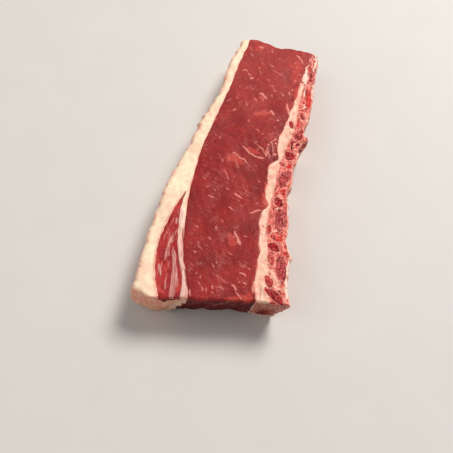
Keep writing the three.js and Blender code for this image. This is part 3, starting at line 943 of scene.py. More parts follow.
EYE_FILM = [
    (2, (19.5, 18), (20, 20.5)), (2, (26, 18), (27, 19.5)), (1.8, (27, 8.5), (29, 7.5)),
    (1.9, (23.5, 6), (23.5, 2.5)), (1.8, (22.5, 23), (21, 21.5)), (2, (22.5, 56.5), (22, 54.5)),
    (1.8, (20.5, 45), (21.5, 44)), (1.6, (20, 10.5), (20.5, 3)),
    (1.4, (19.5, 18), (19.5, 12.5), (22.5, 7.5), (25, 1)), (1.6, (20, 21.5), (23.5, 26), (27, 31)),
    (2.8, (26.5, 24.5), (27.5, 22)), (2.9, (28, 10.5), (30, 8)), (1.5, (23, 23), (25.5, 15), (27, 4.5)),
    (1.8, (27, 101.5), (28.5, 95)), (1.6, (28.5, 105.5), (30.5, 103)), (2.5, (12, 0.5), (19.5, 1)),
    (1.3, (36.5, 20.5), (39.5, 16)), (1.7, (18, 12), (20.5, 2.5)),
]
# On the near face the points are (x, z).
END_FILM = [
    (1.4, (-16, 24), (-6, 31), (8, 36)), (1.4, (12, 10), (24, 15), (38, 24)), (1.2, (-4, 14), (10, 19)),
    (1.1, (16, 29), (36, 33)), (1.2, (-26, 14), (-14, 22)), (1, (-20, 33), (-8, 38)),
    (2.6, (22, 3), (32, 6), (42, 11)), (1.4, (28, 13), (42, 19)), (2.6, (1, 15), (10, 26), (23, 40)),
]
EYE_BENDS = 4.5
# How far each mark stands up from the meat, in mm.
EYE_HEIGHTS = {"pale": 0.25, "bright": 0.2, "film": 0.3, "dark": -0.6}
# Shares of the length: where the eye starts to turn paler, and how near to an end counts as the end.
PALER_FROM = 0.45
ENDS_WITHIN = 0.004


def upper(w):
    """1 on the upper face, fading out a little way down the sides."""
    return smooth(0.9, 1, w)


def near_end(v, w):
    """1 on the near end face, below its upper edge."""
    return (v < ENDS_WITHIN) * smooth(1, 0.97, w)


section = around_section(top=108, right=22, bottom=36, left=22)
points, u, v, w = lengthwise(eye_left, eye_right, section)
x, y, z = np.moveaxis(points, -1, 0)
marks = {
    **painted({"pale": EYE_STREAKS, "faint": EYE_FAINT}, x, y, upper(w), EYE_BENDS),
    **painted({"bright": EYE_BRIGHT, "dark": EYE_DARK, "film": EYE_FILM}, x, y, upper(w)),
    # The near face is painted darker as shade.
    "end": near_end(v, w),
    "paler": smooth(PALER_FROM, 1, v),
}
add_mark(marks, "film", strands(END_FILM, x, z) * near_end(v, w))
z += standing(marks, EYE_HEIGHTS)
EYE = ring_mesh("eye_of_rib", points, **marks)

# %% [markdown]
# ## The tongue of cap muscle
#
# At the near end a second muscle lies in the fat like a tongue. It is a lengthwise tube of its own, and the
# fat under it gets a shallow bed so that the two surfaces never fight for the same place.

# %% Shape of the tongue
CAP_LEFT_X = [-41.5, -49.5, -55.8, -58.5, -56.8, -54.2, -49.8]
CAP_RIGHT_X = [-22.5, -25.5, -33.5, -40.3, -45, -48.3, -49]
CAP_LENGTH = 0.335
CAP_DEPTH = [6, 9, 12, 13, 12, 9, 5]
CAP_EDGE_DEPTH = 0.35
BED_DEPTH = 1.2
CAP_PROUD = 0.15

cap_left_x = through(CAP_LEFT_X)
cap_right_x = through(CAP_RIGHT_X)
cap_depth = through(CAP_DEPTH)


def cap_sides(along):
    """X of the tongue's two sides, slightly ragged."""
    left = cap_left_x(along) + 0.25 * ripples(41, 5, LENGTH * CAP_LENGTH * along)
    right = cap_right_x(along) + 0.15 * ripples(42, 6, LENGTH * CAP_LENGTH * along)
    return left, right


def cap_deep(along, u):
    """How deep the tongue reaches: deepest along its middle line."""
    return cap_depth(along) * lerp(CAP_EDGE_DEPTH, 1, 1 - (2 * u - 1) ** 2)


def inside_cap(x, v, below):
    """How far inside the tongue a point lies, in mm, from its place and its depth below the upper face."""
    along = v / CAP_LENGTH
    left, right = cap_sides(along)
    u = np.clip((x - left) / (right - left), 0, 1)
    past_tip = (1 - along) * CAP_LENGTH * LENGTH
    return np.minimum.reduce([x - left, right - x, past_tip, cap_deep(along, u) - below])


# %% Marks on the tongue
CAP_STREAKS = [
    (1.8, (-41.5, -124.5), (-38, -131), (-36, -137.5), (-33, -144), (-31.5, -150), (-30, -158),
     (-28.5, -173)),
    (1.6, (-42, -128), (-39, -133), (-36.5, -141), (-35, -148), (-34, -155.5), (-32.5, -164.5),
     (-31, -173)),
    (2.2, (-48.5, -111), (-47.5, -116), (-48.5, -120)), (2.2, (-48, -117.5), (-47.5, -128), (-46, -137.5)),
    (2.4, (-51.5, -142), (-48, -148.5), (-45.5, -153)), (2.4, (-49.5, -91), (-47.5, -97.5)),
]
CAP_FAINT = [
    (4.4, (-40.5, -129.5), (-36, -139.5), (-33.5, -150), (-31.5, -158), (-30.5, -166), (-29.5, -178)),
    (1.5, (-46.5, -119.5), (-46, -126), (-43.5, -132)), (1.4, (-43, -121), (-41, -131.5)),
    (1.4, (-53.5, -104), (-54.5, -112), (-54, -119)), (1.5, (-40, -128.5), (-37, -136), (-34, -143)),
    (1.6, (-40.5, -148), (-40, -156), (-37.5, -165)), (1.3, (-44.5, -100), (-46, -110), (-47.5, -118)),
    (1.5, (-48.5, -138), (-48.5, -146), (-46, -155)), (1.3, (-51.5, -91), (-53, -101)),
    (1.3, (-57, -128), (-55.5, -137), (-54, -143)), (1.2, (-29.5, -150), (-27.5, -160)),
]
# Gaps painted dark as their shade; the last row is a painted shadow line along the tongue's near edge.
CAP_DARK = [
    (2.6, (-56.5, -85), (-55.5, -95), (-57.5, -103.5), (-58, -112.5)),
    (2.6, (-58, -112.5), (-55, -122), (-51, -128)),
    (2.8, (-49, -99), (-45, -108.5), (-43.5, -114.5), (-45, -118)),
    (2, (-45.5, -133.5), (-40.5, -137), (-38, -144)), (1.6, (-38, -124), (-34, -132.5), (-30.5, -142)),
    (2.4, (-43, -171), (-32, -170.5)),
]
CAP_BRIGHT = [
    (5, (-57, -129), (-54.5, -137.5), (-51.5, -141)), (3.2, (-45.5, -162.5), (-42, -168), (-37, -167)),
    (5, (-43.5, -136), (-42, -143.5), (-44, -147.5)), (4, (-27, -156), (-25.5, -164.5)),
    (4, (-51, -76), (-50, -79)),
]
LONG_BENDS = 14

# %% Mesh of the tongue
TONGUE_ROWS = 240
TONGUE_ACROSS = 60
TONGUE_BELOW = 20
TONGUE_EDGE = 0.6
TONGUE_EDGE_DROP = 0.5
TONGUE_OUT = 0.3
TONGUE_OUT_WITHIN = 1 / 60
TONGUE_DARK = 0.7
TONGUE_HEIGHTS = {"pale": 0.3, "dark": -0.3}

along, shrink = lengthwise_rings(TONGUE_ROWS)
u = np.concatenate([np.arange(TONGUE_ACROSS) / TONGUE_ACROSS, 1 - np.arange(TONGUE_BELOW) / TONGUE_BELOW])
low = np.concatenate([np.zeros(TONGUE_ACROSS), np.ones(TONGUE_BELOW)])
u, low = (0.5 + (share - 0.5) * (1 - shrink) for share in (u, low))
along = np.broadcast_to(along, u.shape)
left, right = cap_sides(along)
x = lerp(left, right, u)
points = slab_point(x, along * CAP_LENGTH, np.ones_like(x))
x, y, z = np.moveaxis(points, -1, 0)
edge = np.minimum(x - left, right - x)
z += CAP_PROUD - rounding(edge, TONGUE_EDGE) * TONGUE_EDGE_DROP - low * cap_deep(along, u)
lean_back = near_face(x, z / THICKNESS) - near_face(x, 1.0)
y += lean_back * (1 - along) - TONGUE_OUT * np.exp(-along / TONGUE_OUT_WITHIN)
on_top = 1 - np.clip(low * 3, 0, 1)
tables = {"pale": CAP_STREAKS, "faint": CAP_FAINT, "bright": CAP_BRIGHT, "dark": CAP_DARK}
marks = painted(tables, x, y, on_top, LONG_BENDS)
marks["dark"] *= TONGUE_DARK
# The tongue's near face takes the lean's painted shade.
marks |= {"film": 0, "end": (along < ENDS_WITHIN) * smooth(0.05, 0.3, low), "paler": 0}
z += standing(marks, TONGUE_HEIGHTS)
TONGUE = ring_mesh("cap_tongue", points, **marks)

# %% [markdown]
# ## The fat cap
#
# The fat wraps the left side. Its outer edge is the scalloped skin side, and the thin band between the
# tongue and the eye is seam fat, whiter and covered by a greyish film.

# %% Mesh of the fat cap
SEAM_WHITE = [
    (3.6, (-46.5, -77.5), (-44.5, -86), (-43.5, -94), (-42, -100.5)),
    (2.6, (-41, -106), (-40.5, -111.5), (-39.5, -116.5), (-37, -122.5), (-35.5, -128)),
    (1.5, (-35.5, -127.5), (-32.5, -132.5), (-29.5, -138), (-27, -142)),
    (4.2, (-27, -142.5), (-25, -148.5), (-23.5, -153.5), (-22.5, -158.5), (-20.5, -165.5), (-21, -168)),
]
SEAM_DARK = [
    (2.6, (-26, -141), (-22.5, -147.5), (-19.5, -154), (-17, -159), (-14.5, -166)),
    (0.8, (-39.5, -98), (-38.5, -104), (-34.5, -118.5)), (0.5, (-50, -71), (-49.5, -62), (-48, -56)),
]

FAT_HEIGHTS = {"white": 0.4, "dark": -0.4}
BED_MARGIN = 1.5
ON_TOP_FROM = 0.98

# Where each tint starts and where it is full, in mm from its line or as a share.
SKIN_TINT_AND_SHADE = (8, 0)
SKIN_COVERS = (2, 0)
SKIN_STARTS = (0.9, 0.75)
TONGUE_TINT = (4, 0)
TONGUE_TINT_ENDS = (0.36, 0.3)
LEAN_TINT = (2.5, 0.3)
SEAM_STARTS = (-0.5, 0.5)
SEAM_ENDS = (0.34, 0.1)
FACE_STARTS = (0.9, 0.1)

section = around_section(top=74, right=6, bottom=34, left=34, crowd_left=1.5)
points, u, v, w = lengthwise(fat_edge, eye_left, section)
x, y, z = np.moveaxis(points, -1, 0)
bed = BED_DEPTH * smooth(0, 1, inside_cap(x, v, THICKNESS - z - BED_MARGIN))
z -= bed * (w > ON_TOP_FROM)
y += bed * (v < ENDS_WITHIN)
cap_left, cap_right = cap_sides(v / CAP_LENGTH)
from_skin = x - fat_edge(v, w)
by_tongue = smooth(*TONGUE_TINT_ENDS, v) * smooth(*TONGUE_TINT, cap_left - x) * (x < cap_left)
by_lean = smooth(*LEAN_TINT, eye_left(v, w) - x)
marks = {
    # The pink by the skin side is partly its own tint and partly painted shade where the edge rounds away
    # from the light.
    "pink": np.maximum.reduce([0.6 * smooth(*SKIN_TINT_AND_SHADE, from_skin), 0.7 * by_lean, 0.75 * by_tongue]),
    "skin": smooth(*SKIN_COVERS, from_skin) * smooth(*SKIN_STARTS, w),
    "film": smooth(*SEAM_STARTS, x - cap_right) * smooth(*SEAM_ENDS, v) * upper(w),
    **painted({"white": SEAM_WHITE, "dark": SEAM_DARK}, x, y, upper(w), LONG_BENDS),
    # The cut colour of the near face, partly painted warm shade, starts as the edge rounds over.
    "end": smooth(*FACE_STARTS, (y - near_face(x, w)) / near_radius(x)),
}
z += standing(marks, FAT_HEIGHTS)
CAP = ring_mesh("fat_cap_layer", points, **marks)

# %% [markdown]
# ## The rib side
#
# Fat, membranes, four sawn ribs and many small muscles. The fat is one long piece with a shallow bed under
# each bone and muscle, and those stand in their beds flush at their outline, like stones in a setting.

# %% Outline of a column
def outline_ragged(row, around):
    """The column's radius as a share of its ellipse: a wave with three crests and some finer bumps."""
    middle_x, middle_y = row[:2]
    ragged = 1 + COLUMN_RAGGED * np.sin(3 * around + middle_x + middle_y)
    return ragged + 0.07 * ripples(51, 0.35, np.cos(around), np.sin(around), middle_x)


def inside_column(row, x, y):
    """How far inside a column's outline a point of the upper face lies, in mm, negative outside.

    The point's place in the column's own long and wide directions gives its angle on the ellipse. Its
    distance from the middle, over the outline's share at that angle, scales it onto the outline."""
    middle_x, middle_y, long, wide, turn, taper, _ = row
    angle = math.radians(turn)
    along = (x - middle_x) * math.sin(angle) + (y - middle_y) * math.cos(angle)
    aside = (x - middle_x) * math.cos(angle) - (y - middle_y) * math.sin(angle)
    widening = 1 + taper * np.clip(2 * along / long, -1, 1)
    around = np.arctan2(aside / (wide * widening), along / long)
    share = np.hypot(2 * along / long, 2 * aside / (wide * widening)) / outline_ragged(row, around)
    return np.hypot(along, aside) * (1 / np.maximum(share, 0.02) - 1)


# %% Marks on the rib side
INNER_FAT_X = [57, 47.6, 38.5, 37.2, 37.6, 43, 41.5, 42.5, 36]
COLUMN_EDGE = 3.0
RIB_STRANDS = {
    "cream": [
        (5, (47.5, -121.5), (53, -125.5), (58, -131), (62, -137.5)), (3.4, (66.5, -133), (69.5, -144)),
        (3.6, (56, -138), (66, -141)), (2.6, (68.5, -147), (70, -152)), (3, (42.5, -57), (49.5, -55.5)),
        (3.2, (45, -83), (48.5, -80.5)), (3, (65, -103), (66.5, -107), (66.5, -116.5)),
        (3.5, (46, -126), (52, -151.5)),
    ],
    "white": [
        (1.5, (42.5, 164), (41, 156.5), (39.5, 148.5), (39, 144.5)),
        (2.6, (39, 145.5), (40.5, 137.5), (41.5, 129.5)), (5.8, (40.5, 136), (41.5, 127), (42, 116)),
        (3, (44, 121), (38.5, 121)),
        (2.4, (45.5, 167), (48, 162.5), (49.5, 154), (49, 145.5), (49, 137.5)),
        (1.4, (44.5, 160), (48, 158)), (2.6, (52.5, 118.5), (53, 105), (54.5, 92.5)),
        (1.3, (44, 110.5), (44, 102.5), (45, 95)), (2.5, (46.5, 85), (49, 82), (46, 78)),
        (1.8, (56, 74.5), (56.5, 67), (52.5, 59)), (1.9, (52, 23), (53.5, 15), (52.5, 7)),
        (2.1, (46, 19.5), (49.5, 19)), (1.6, (53.5, -50), (55.5, -56.5), (56, -63.5)),
        (1.5, (59.5, -86.5), (61, -95)), (1.7, (62.5, -99), (66, -104.5)),
        (2, (66.5, -105.5), (66, -117), (67, -127)), (3.2, (66.5, -127), (68.5, -137), (71, -148)),
        (1.4, (48, -145), (49.5, -154.5)), (2.4, (47.5, -81.5), (49, -82)),
    ],
    "pink": [
        (1.8, (52, -18), (52.5, -24.5), (51.5, -33.5)), (2.2, (40, -42), (48, -41)),
        (1.8, (52.5, -103), (53, -116.5)), (2.2, (45.5, 151.5), (47, 139)), (2, (45, 119.5), (50, 120)),
        (1.8, (41.5, 80), (46, 82.5)),
        (2.6, (53, 44.5), (54, 40), (57, 35), (56.5, 31.5), (53.5, 27), (49.5, 24)),
        (1.8, (45.5, 23), (48.5, 30), (53.5, 33), (58, 33.5)), (1.6, (50, 23), (53.5, 28), (57.5, 31)),
        (3.2, (45.5, 18.5), (52, 12)), (3.6, (48, -28), (50, -21)), (3, (46, -29.5), (49, -32.5)),
        (2.2, (38, -39), (41.5, -32.5)), (2.5, (40.5, -43.5), (49.5, -43.5)),
        (2.9, (41.5, -87.5), (46.5, -93)), (2.3, (56, -93), (59.5, -102)), (3.1, (68, -146), (72.5, -152)),
        (2.9, (48, 4.5), (50.5, -1.5)), (2.1, (42, 2.5), (44, -4.5)), (2.7, (41.5, 75.5), (48, 79)),
        (2.2, (45.5, 60), (52, 61.5)), (2.7, (50, 73), (54.5, 66.5)), (2.2, (42, 57.5), (42.5, 49)),
        (1.9, (54, -75.5), (57, -80)), (2.8, (52.5, -103), (57.5, -104.5)),
        (3.1, (43.5, 159), (46.5, 147.5)), (2.3, (46.5, 117), (43, 112)),
    ],
    "red": [
        (3.8, (49.5, 99), (51, 86.5), (51.5, 80)), (2.6, (51, 96.5), (54, 78)),
        (2.9, (53, 83), (54.5, 77)), (4.6, (46, -34.5), (49, -38.5)), (3.4, (52, -87.5), (50, -90.5)),
        (2.1, (56, -84), (54, -88)), (2.9, (45.5, 1), (45.5, -3)), (3.3, (47, -13), (49, -16.5)),
        (2.3, (42.5, 29), (42.5, 25)), (3.7, (45, 55.5), (46, 51.5)), (2.3, (53.5, -58.5), (56.5, -69.5)),
    ],
    "crimson": [
        (2.6, (42.5, 161.5), (42.5, 149.5), (43, 141)), (3.8, (45.5, 136), (47.5, 125.5), (47.5, 121)),
        (4.6, (49, 45.5), (52, 41), (48.5, 37.5)), (2.2, (44, 29.5), (44, 22.5)),
        (2.2, (46, 23.5), (48.5, 29.5)), (2.6, (46.5, 110), (46.5, 103.5), (47.5, 96)),
        (2, (49, 86.5), (50.5, 76)), (3.3, (46.5, 70.5), (49.5, 62)), (1.6, (50, 125), (51.5, 117.5)),
        (2.8, (46, 137.5), (48.5, 124.5)), (1.8, (33, 100), (33.5, 94.5)), (2.6, (42, 27.5), (49, 32)),
        (3.2, (48, 24), (51, 29)), (1.7, (44, 25), (45, 19.5)), (1.6, (41.5, 15.5), (47, 12.5)),
        (1.9, (45, 8), (48.5, 5.5)), (1.7, (41, 13.5), (43.5, 8)), (2.6, (43, -35), (44.5, -38.5)),
        (3.4, (40.5, -44.5), (48.5, -50.5)), (1.9, (47, -87), (49, -91.5)),
        (3.4, (45, -96.5), (55.5, -102)), (2.4, (63.5, -128), (64.5, -135)),
        (4.4, (55, -145.5), (62, -149), (66, -151)), (1.4, (50, -143.5), (55, -145.5)),
        (1.8, (40, -55), (41, -60)), (1.4, (48.5, -57.5), (53.5, -58)), (1.3, (48.5, -4), (49.5, -5.5)),
        (1.7, (37.5, 53.5), (38.5, 48)), (1.3, (43, 83), (46, 83.5)),
    ],
    "rosy": [
        (3.6, (43.5, 158), (42.5, 148), (44.5, 138)),
    ],
    # Pits, sunk and painted near black as their shade.
    "dark": [
        (1.3, (61.5, -142.5), (64.5, -141.5)), (1.1, (44, 24), (45, 20.5)), (1.4, (38, -30), (39, -31.5)),
        (1.2, (38, -34), (38.5, -36)), (1.2, (45, -57), (46.5, -57.5)), (1.4, (50, 144), (52, 141.5)),
        (1.2, (41.5, 115.5), (43.5, 117)), (0.9, (34.5, -78), (35, -79.5)),
        (0.9, (43, 110.5), (42.5, 102)), (1.6, (46, -51), (49, -51)),
    ],
    "film": [
        (3.2, (37.5, 17), (39.5, 6.5)), (3, (38, -44), (39, -51)), (1.9, (37.5, -76), (39.5, -89.5)),
        (2.1, (43.5, -105), (46.5, -116)), (1.7, (34.5, 37), (38, 35)), (2.2, (45, -139), (48, -154)),
        (2.1, (52, -67), (55, -73)),
    ],
}
MEATS = ("bone", "rosy", "red", "crimson")
RIB_MARKS = (*MEATS, "cream", "white", "pink", "dark", "film", "wall", "over_rib", "end")
RIB_HEIGHTS = {"white": 0.5, "pink": 0.4, "crimson": -0.35, "bone": -0.2, "dark": -1.8}
RIM_WIDTH = 1.6
RIM_INSIDE = 0.6
PINK_RIM = 3.6
CREAM_FADES = (2.5, -2.5)
CREAM_ENDS = (124, 110)

inner_fat_x = through(INNER_FAT_X)


def rib_marks(x, y, top):
    """The marks at points of the upper face, or under them where top is 0.

    A column's mark is 0.5 on its outline and changes over COLUMN_EDGE. Strands show on the top alone. A
    patchy pink runs along the eye, and a rim of pink and broken white, the white partly a painted highlight,
    along the outer edge."""
    v = share_along(x, y)
    marks = dict.fromkeys(RIB_MARKS, np.zeros_like(v))
    creamy = smooth(*CREAM_ENDS, y)
    add_mark(marks, "cream", smooth(*CREAM_FADES, x - inner_fat_x(v)) * creamy)
    add_mark(marks, "rosy", 1 - creamy)
    for kind in MEATS:
        inside = [inside_column(row, x, y) for row in RIB_BONES + RIB_MUSCLES if row[-1] == kind]
        add_mark(marks, kind, np.clip(0.5 + np.max(inside, axis=0) / COLUMN_EDGE, 0, 1))
    for kind, strength in painted(RIB_STRANDS, x, y, top).items():
        add_mark(marks, kind, strength)
    rim = np.clip(1 - np.abs(rib_edge(v, 1.0) - x - RIM_INSIDE) / RIM_WIDTH, 0, 1) * top
    by_eye = smooth(PINK_RIM, 0.2, x - eye_right(v, 1.0))
    add_mark(marks, "pink", by_eye * (0.75 + 0.35 * ripples(62, 9, y)))
    add_mark(marks, "pink", rim)
    # The broken white on the rim is partly membrane and partly a painted highlight where light catches the
    # outer edge.
    add_mark(marks, "white", rim * (0.05 + 0.5 * ripples(61, 8, y)))
    return marks


# %% Mesh of the rib fat
OVER_RIB_REACH = 0.028
ON_FOOT_TO = 0.02
AT_NEAR_END = 1e-6

# Where each change starts and where it is full.
SIDE_COVERS = (1.2, 0.1)
SIDE_STARTS = (0.9, 0.76)
KNOB_ALONG = (3, 1)
KNOB_INSIDE = (4, 2)
KNOB_UP = (0.4, 0.7)
HEM_UP = (0.22, 0.08)
ROUND_END_MUSCLE = (1.7, 0.9)
END_BED = (1.0, 0.85)
COLUMN_BED = (0.5, 1.5)

section = around_section(top=76, right=40, bottom=36, left=6, crowd_right=1.25)
points, u, v, w = lengthwise(eye_right, rib_edge, section, rows=520)
x, y, z = np.moveaxis(points, -1, 0)
face_x = lerp(eye_right(v, 1.0), rib_edge(v, 1.0), u)
face_y = lerp(near_face(face_x, 1.0), far_face(face_x, 1.0), v)
marks = rib_marks(face_x, face_y, upper(w))

# On the rib side the upper face's marks give way to the muscle wall, and to a sheath over each rib.
from_side = rib_edge(v, w) - x
outer = smooth(*SIDE_COVERS, from_side) * smooth(*SIDE_STARTS, w + 0.06 * ripples(65, 4, LENGTH * v))
waver = v + 0.007 * ripples(64, 9, THICKNESS * w, LENGTH * v)
ribs = [(share_along(x, y), 1, OVER_RIB_REACH) for x, y, *_ in RIB_BONES]
over_rib = np.max([lumps([rib], waver) for rib in ribs], axis=0)
for kind in (*MEATS, "cream"):
    marks[kind] = marks[kind] * (1 - outer)
knob_meat = smooth(*KNOB_ALONG, np.abs(v - RIB_KNOB[0]) / RIB_KNOB[2]) * smooth(*KNOB_INSIDE, from_side)
add_mark(marks, "rosy", knob_meat * smooth(*KNOB_UP, w))
add_mark(marks, "wall", outer * (1 - over_rib))
add_mark(marks, "over_rib", outer * over_rib)

# The near end has a pale hem at its foot and crimson round the end muscle.
end_reach = np.hypot(
    (u - END_MUSCLE["across"]) / END_MUSCLE["across_half"], (w - END_MUSCLE["up"]) / END_MUSCLE["up_half"]
)
marks["end"] = near_end(v, w)
add_mark(marks, "white", 0.75 * smooth(*HEM_UP, w + 0.08 * ripples(63, 3, x)) * marks["end"])
add_mark(marks, "crimson", smooth(*ROUND_END_MUSCLE, end_reach) * marks["end"])

# Relief, the beds of the columns at both faces, and the bed of the end muscle.
columns = [inside_column(row, face_x, face_y) for row in RIB_BONES + RIB_MUSCLES]
sunk = BED_DEPTH * smooth(*COLUMN_BED, np.max(columns, axis=0))
z += standing(marks, RIB_HEIGHTS) * upper(w)
z -= sunk * (w > ON_TOP_FROM)
z += sunk * (w < ON_FOOT_TO)
y += BED_DEPTH * smooth(*END_BED, end_reach) * (v < AT_NEAR_END)
np.clip(z, 0, HIGHEST, out=z)
RIB = ring_mesh("rib_side_layer", points, **marks)

# %% Mesh of a column
COVERED = 1.0
AROUND = 80
CAP_STEPS = 22
WALL_STEPS = 8
OVER_FAT = 0.03
PILLOW = {"bone": 0.05, "rosy": 0.3, "red": 0.2, "crimson": 0.1}


def rib_point(x, y, w):
    """The points under (x, y) of the upper face, at w up: each keeps its share of the rib strip's width.

    None comes nearer to the rib side or an end than COVERED, so that a bone stays under its membrane."""
    v = np.clip(share_along(x, y), COVERED / LENGTH, 1 - COVERED / LENGTH)
    wide = rib_edge(v, 1.0) - eye_right(v, 1.0)
    share = np.minimum((x - eye_right(v, 1.0)) / wide, 1 - COVERED / wide)
    return slab_point(lerp(eye_right(v, w), rib_edge(v, w), share), v, w)


def column_mesh(name, row, foot):
    """An upright column: out over its lower end, up its wall and in over its upper end.

    reach is the share of the outline's radius. The upper end is a low pillow that stands a little over
    the fat."""
    middle_x, middle_y, long, wide, turn, taper, kind = row
    across = np.linspace(0.03, 1, CAP_STEPS)
    reach = np.concatenate([across, np.ones(WALL_STEPS), across[::-1]])[:, None]
    wall = np.linspace(0, 1, WALL_STEPS + 2)[1:-1]
    rise = np.concatenate([np.zeros(CAP_STEPS), wall, np.ones(CAP_STEPS)])
    around = turns(AROUND)
    radius = reach * outline_ragged(row, around)
    along = radius * long / 2 * np.cos(around)
    aside = radius * wide / 2 * (1 + taper * np.cos(around)) * np.sin(around)
    angle = math.radians(turn)
    x = middle_x + along * math.sin(angle) + aside * math.cos(angle)
    y = middle_y + along * math.cos(angle) - aside * math.sin(angle)
    rise = np.broadcast_to(rise[:, None], x.shape)
    rings = rib_point(x, y, lerp(foot, 1.0, rise))
    marks = rib_marks(x, y, rise)
    pillow = OVER_FAT + PILLOW[kind] * (1 - reach**2)
    rings[..., 2] += (pillow + standing(marks, RIB_HEIGHTS)) * (rise == 1)
    rings[..., 2] -= OVER_FAT * (rise == 0) * (foot == 0)
    rings[..., 2] = np.clip(rings[..., 2], 0, HIGHEST)
    return ring_mesh(name, rings, **marks)


CORNER_FOOT = 1 - CORNER_MUSCLE_DEPTH / THICKNESS
pieces = []
for kind, rows in (("rib_bone", RIB_BONES), ("rib_muscle", RIB_MUSCLES)):
    for number, row in enumerate(rows, 1):
        node = f"{kind}_{number}"
        at_corner = row is RIB_MUSCLES[-1]
        pieces.append((column_mesh(f"{node}_cut", row, CORNER_FOOT if at_corner else 0), node, RIB_TISSUE))

# %% Mesh of the end muscle
END_OVERLAP = 1.14
END_SMALLEST = 0.04
END_STEPS_IN = np.array([0.25, 0.5, 0.75, 1])
END_STEPS_BACK = 6
END_BULGE = 0.25
END_SHEATH = 0.6
END_REDS = ((118, 28, 24), (150, 44, 36), (172, 62, 50))

# From the middle of the near face out past the bed's edge, inwards, and back to the middle.
out = np.linspace(END_SMALLEST, 1, CAP_STEPS)
back = np.linspace(1, END_SMALLEST, END_STEPS_BACK)
reach = np.concatenate([out, np.ones(len(END_STEPS_IN)), back])[:, None] * END_OVERLAP
inwards = np.concatenate([np.zeros(CAP_STEPS), END_STEPS_IN, np.ones(END_STEPS_BACK)])[:, None]
around = turns(AROUND)
reach = reach * (1 + 0.05 * ripples(91, 0.5, np.cos(around), np.sin(around)))
share = END_MUSCLE["across"] + END_MUSCLE["across_half"] * reach * np.cos(around)
w = END_MUSCLE["up"] + END_MUSCLE["up_half"] * reach * np.sin(around)
zero = np.zeros_like(w)
rings = slab_point(lerp(eye_right(zero, w), rib_edge(zero, w), share), zero, w)
uneven = 0.12 * ripples(92, 2.2, rings[..., 0], rings[..., 2])
bulge = END_BULGE * (1 - reach**2) + uneven
rings[..., 1] += END_MUSCLE["deep"] * inwards - bulge * (1 - inwards)
marks = dict.fromkeys(("pale", "faint", "bright", "dark", "end", "paler"), 0)
marks["film"] = END_SHEATH * smooth(0.6, 1.0, reach) * (1 - inwards)
END = ring_mesh("end_muscle_cut", rings, **marks)
END_MEAT = lean("end_meat", END_REDS, (206, 136, 116), turn=0, flecks=0.6)

# %% [markdown]
# ## Torn edges at the near end
#
# The knife didn't pass cleanly through the seams here: the skin of the fat hangs over the lean on the left,
# and a membrane of the rib side does on the right. Each is a thin ribbon along a seam of the near face. One
# side of it grows out of the face, and the other is ragged and stands off it.

# %% Torn ribbons
RIBBON_ROWS = 170
RIBBON_AROUND = 28
RIBBON_HELD = 5
RIBBON_SUNK = 0.12


def ribbon(name, seam, side, reach, thick, lift, seed, **marks):
    """A thin ribbon on the near face, along a seam, whose free side points to side: 1 right, -1 left.

    Across it, a runs from -1 on the held side to 1 on the free one. In front of the face it stands by the
    thickness, which grows from nothing on the held side, plus the lift times a squared on the free side.
    The free edge wanders with bumps of two sizes, and the ends taper to nothing."""
    s = np.linspace(0, 1, RIBBON_ROWS)[:, None]
    around = turns(RIBBON_AROUND)
    a = np.cos(around)
    free = np.clip(a, 0, 1)
    taper = np.sqrt(np.clip(1 - (2 * s - 1) ** 6, 0.0004, 1))
    mm = s * THICKNESS * 1.2
    wander = 1 + 0.4 * ripples(seed, 5, mm) + 0.12 * ripples(seed + 1, 1.8, mm)
    reach = np.where(a > 0, reach * np.clip(wander, 0.15, 2.2), RIBBON_HELD) * taper
    w = np.clip(lerp(0.02, 0.96, s) + 0.02 * free * ripples(seed + 2, 2.5, mm), 0.004, 1)
    x = seam(np.zeros_like(w), w) + side * (a * reach - 1)
    front = thick * smooth(-1, -0.2, a) * (0.5 + 0.5 * np.sin(around))
    front = front * (1 + 0.4 * ripples(seed + 4, 1.3, mm, 5 * a))
    curl = lift * (1 + 0.4 * ripples(seed + 3, 4, mm))
    y = near_face(x, w) - taper * (front + curl * free**2) + RIBBON_SUNK
    z = w * slab_point(x, np.zeros_like(x), np.ones_like(x))[..., 2]
    marks = {mark: value * free if mark in ("white", "pink") else value for mark, value in marks.items()}
    return ring_mesh(name, np.stack([x, y, z], axis=-1), **marks)


FLAP_MARKS = {"pink": 0.4, "film": 0.2, "white": 0.8, "dark": 0, "end": 0.5, "skin": 0}
HEM_MARKS = {**dict.fromkeys(RIB_MARKS, 0), "pink": 0.5, "white": 0.8, "film": 0.3, "end": 0.6}
FLAP = ribbon("torn_flap", eye_left, 1, 2.2, 0.6, 1.2, 71, **FLAP_MARKS)
HEM = ribbon("rib_membrane", eye_right, -1, 2.0, 0.5, 1.0, 81, **HEM_MARKS)

# %% [markdown]
# ## Who stands for what
#
# Each finished surface takes the place of its plain solid, rides on the roast's one body, and wears its
# finish. The two ribbons have no solid of their own.

# %% Give every piece its finish, body and solid
pieces += [
    (EYE, "lean_eye", EYE_MEAT),
    (TONGUE, "cap_muscle", CAP_MEAT),
    (CAP, "fat_cap", CAP_FAT),
    (RIB, "rib_fat", RIB_TISSUE),
    (END, "end_muscle", END_MEAT),
]
for piece, node, finish in pieces:
    piece.data.materials.append(finish)
    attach(piece, "root")
    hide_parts(node)
RIBBONS = [(FLAP, "cap_fat", CAP_FAT), (HEM, "rib_side_fat", RIB_TISSUE)]
for piece, slot, finish in RIBBONS:
    piece.data.materials.append(finish)
    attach(piece, "root")
print("pieces:", len(pieces) + len(RIBBONS))

# %% [markdown]
# ## Floor, light and camera
#
# A pale floor and soft light, strongest from behind on the right, so that the upper face is evenly lit and
# the near face falls into shade. The camera looks steeply down from the near end.

# %% Floor
FLOOR_HALF = 3.0


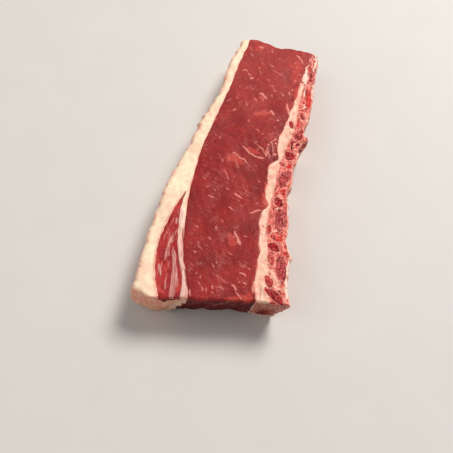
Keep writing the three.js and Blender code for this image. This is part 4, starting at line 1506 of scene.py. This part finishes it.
def floor():
    """A wide pale square just under the slab."""
    mesh = bpy.data.meshes.new("floor")
    corners = [(x * FLOOR_HALF, y * FLOOR_HALF, 0) for x, y in ((-1, -1), (1, -1), (1, 1), (-1, 1))]
    mesh.from_pydata(corners, [], [(0, 1, 2, 3)])
    made = bpy.data.objects.new("floor", mesh)
    bpy.context.scene.collection.objects.link(made)
    f = Finish("floor_paint")
    colour = f.mix(f.noise(60), (214, 211, 206), (220, 217, 213))
    mesh.materials.append(f.surface(Base_Color=colour, Roughness=0.7))


floor()

# %% Lights
def soft_light(name, place, target, size, power, colour):
    """A square area light at place that faces target, both in metres."""
    data = bpy.data.lights.new(name, "AREA")
    data.size = size
    data.energy = power
    data.color = colour
    light = bpy.data.objects.new(name, data)
    light.location = place
    light.rotation_euler = (Vector(target) - Vector(place)).to_track_quat("-Z", "Y").to_euler()
    bpy.context.scene.collection.objects.link(light)


soft_light("key", (1.1, 1.9, 2.6), (0, 0, 0), 1.3, 116, (1.0, 0.97, 0.93))
soft_light("fill", (-0.9, -0.5, 1.2), (0, 0, 0), 1.2, 4, (1.0, 0.98, 0.96))

world = bpy.data.worlds.new("studio")
world.use_nodes = True
world.node_tree.nodes["Background"].inputs["Color"].default_value = (1.0, 0.97, 0.94, 1.0)
world.node_tree.nodes["Background"].inputs["Strength"].default_value = 0.25
bpy.context.scene.world = world
bpy.context.scene.view_settings.view_transform = "Standard"

# %% Camera
CAMERA_PLACE = (0.0606, -0.3160, 0.4580)
CAMERA_TARGET = (0.00057, -0.08815, 0.042)
CAMERA_ROLL = -0.81
LENS_MM = 39.3
SENSOR_MM = 36.0

lens = bpy.data.cameras.new("camera")
lens.lens = LENS_MM
lens.sensor_width = SENSOR_MM
camera = bpy.data.objects.new("camera", lens)
aim = (Vector(CAMERA_TARGET) - Vector(CAMERA_PLACE)).to_track_quat("-Z", "Y").to_matrix().to_4x4()
roll = Matrix.Rotation(math.radians(CAMERA_ROLL), 4, "Z")
camera.matrix_world = Matrix.Translation(CAMERA_PLACE) @ aim @ roll
bpy.context.scene.collection.objects.link(camera)
bpy.context.scene.camera = camera
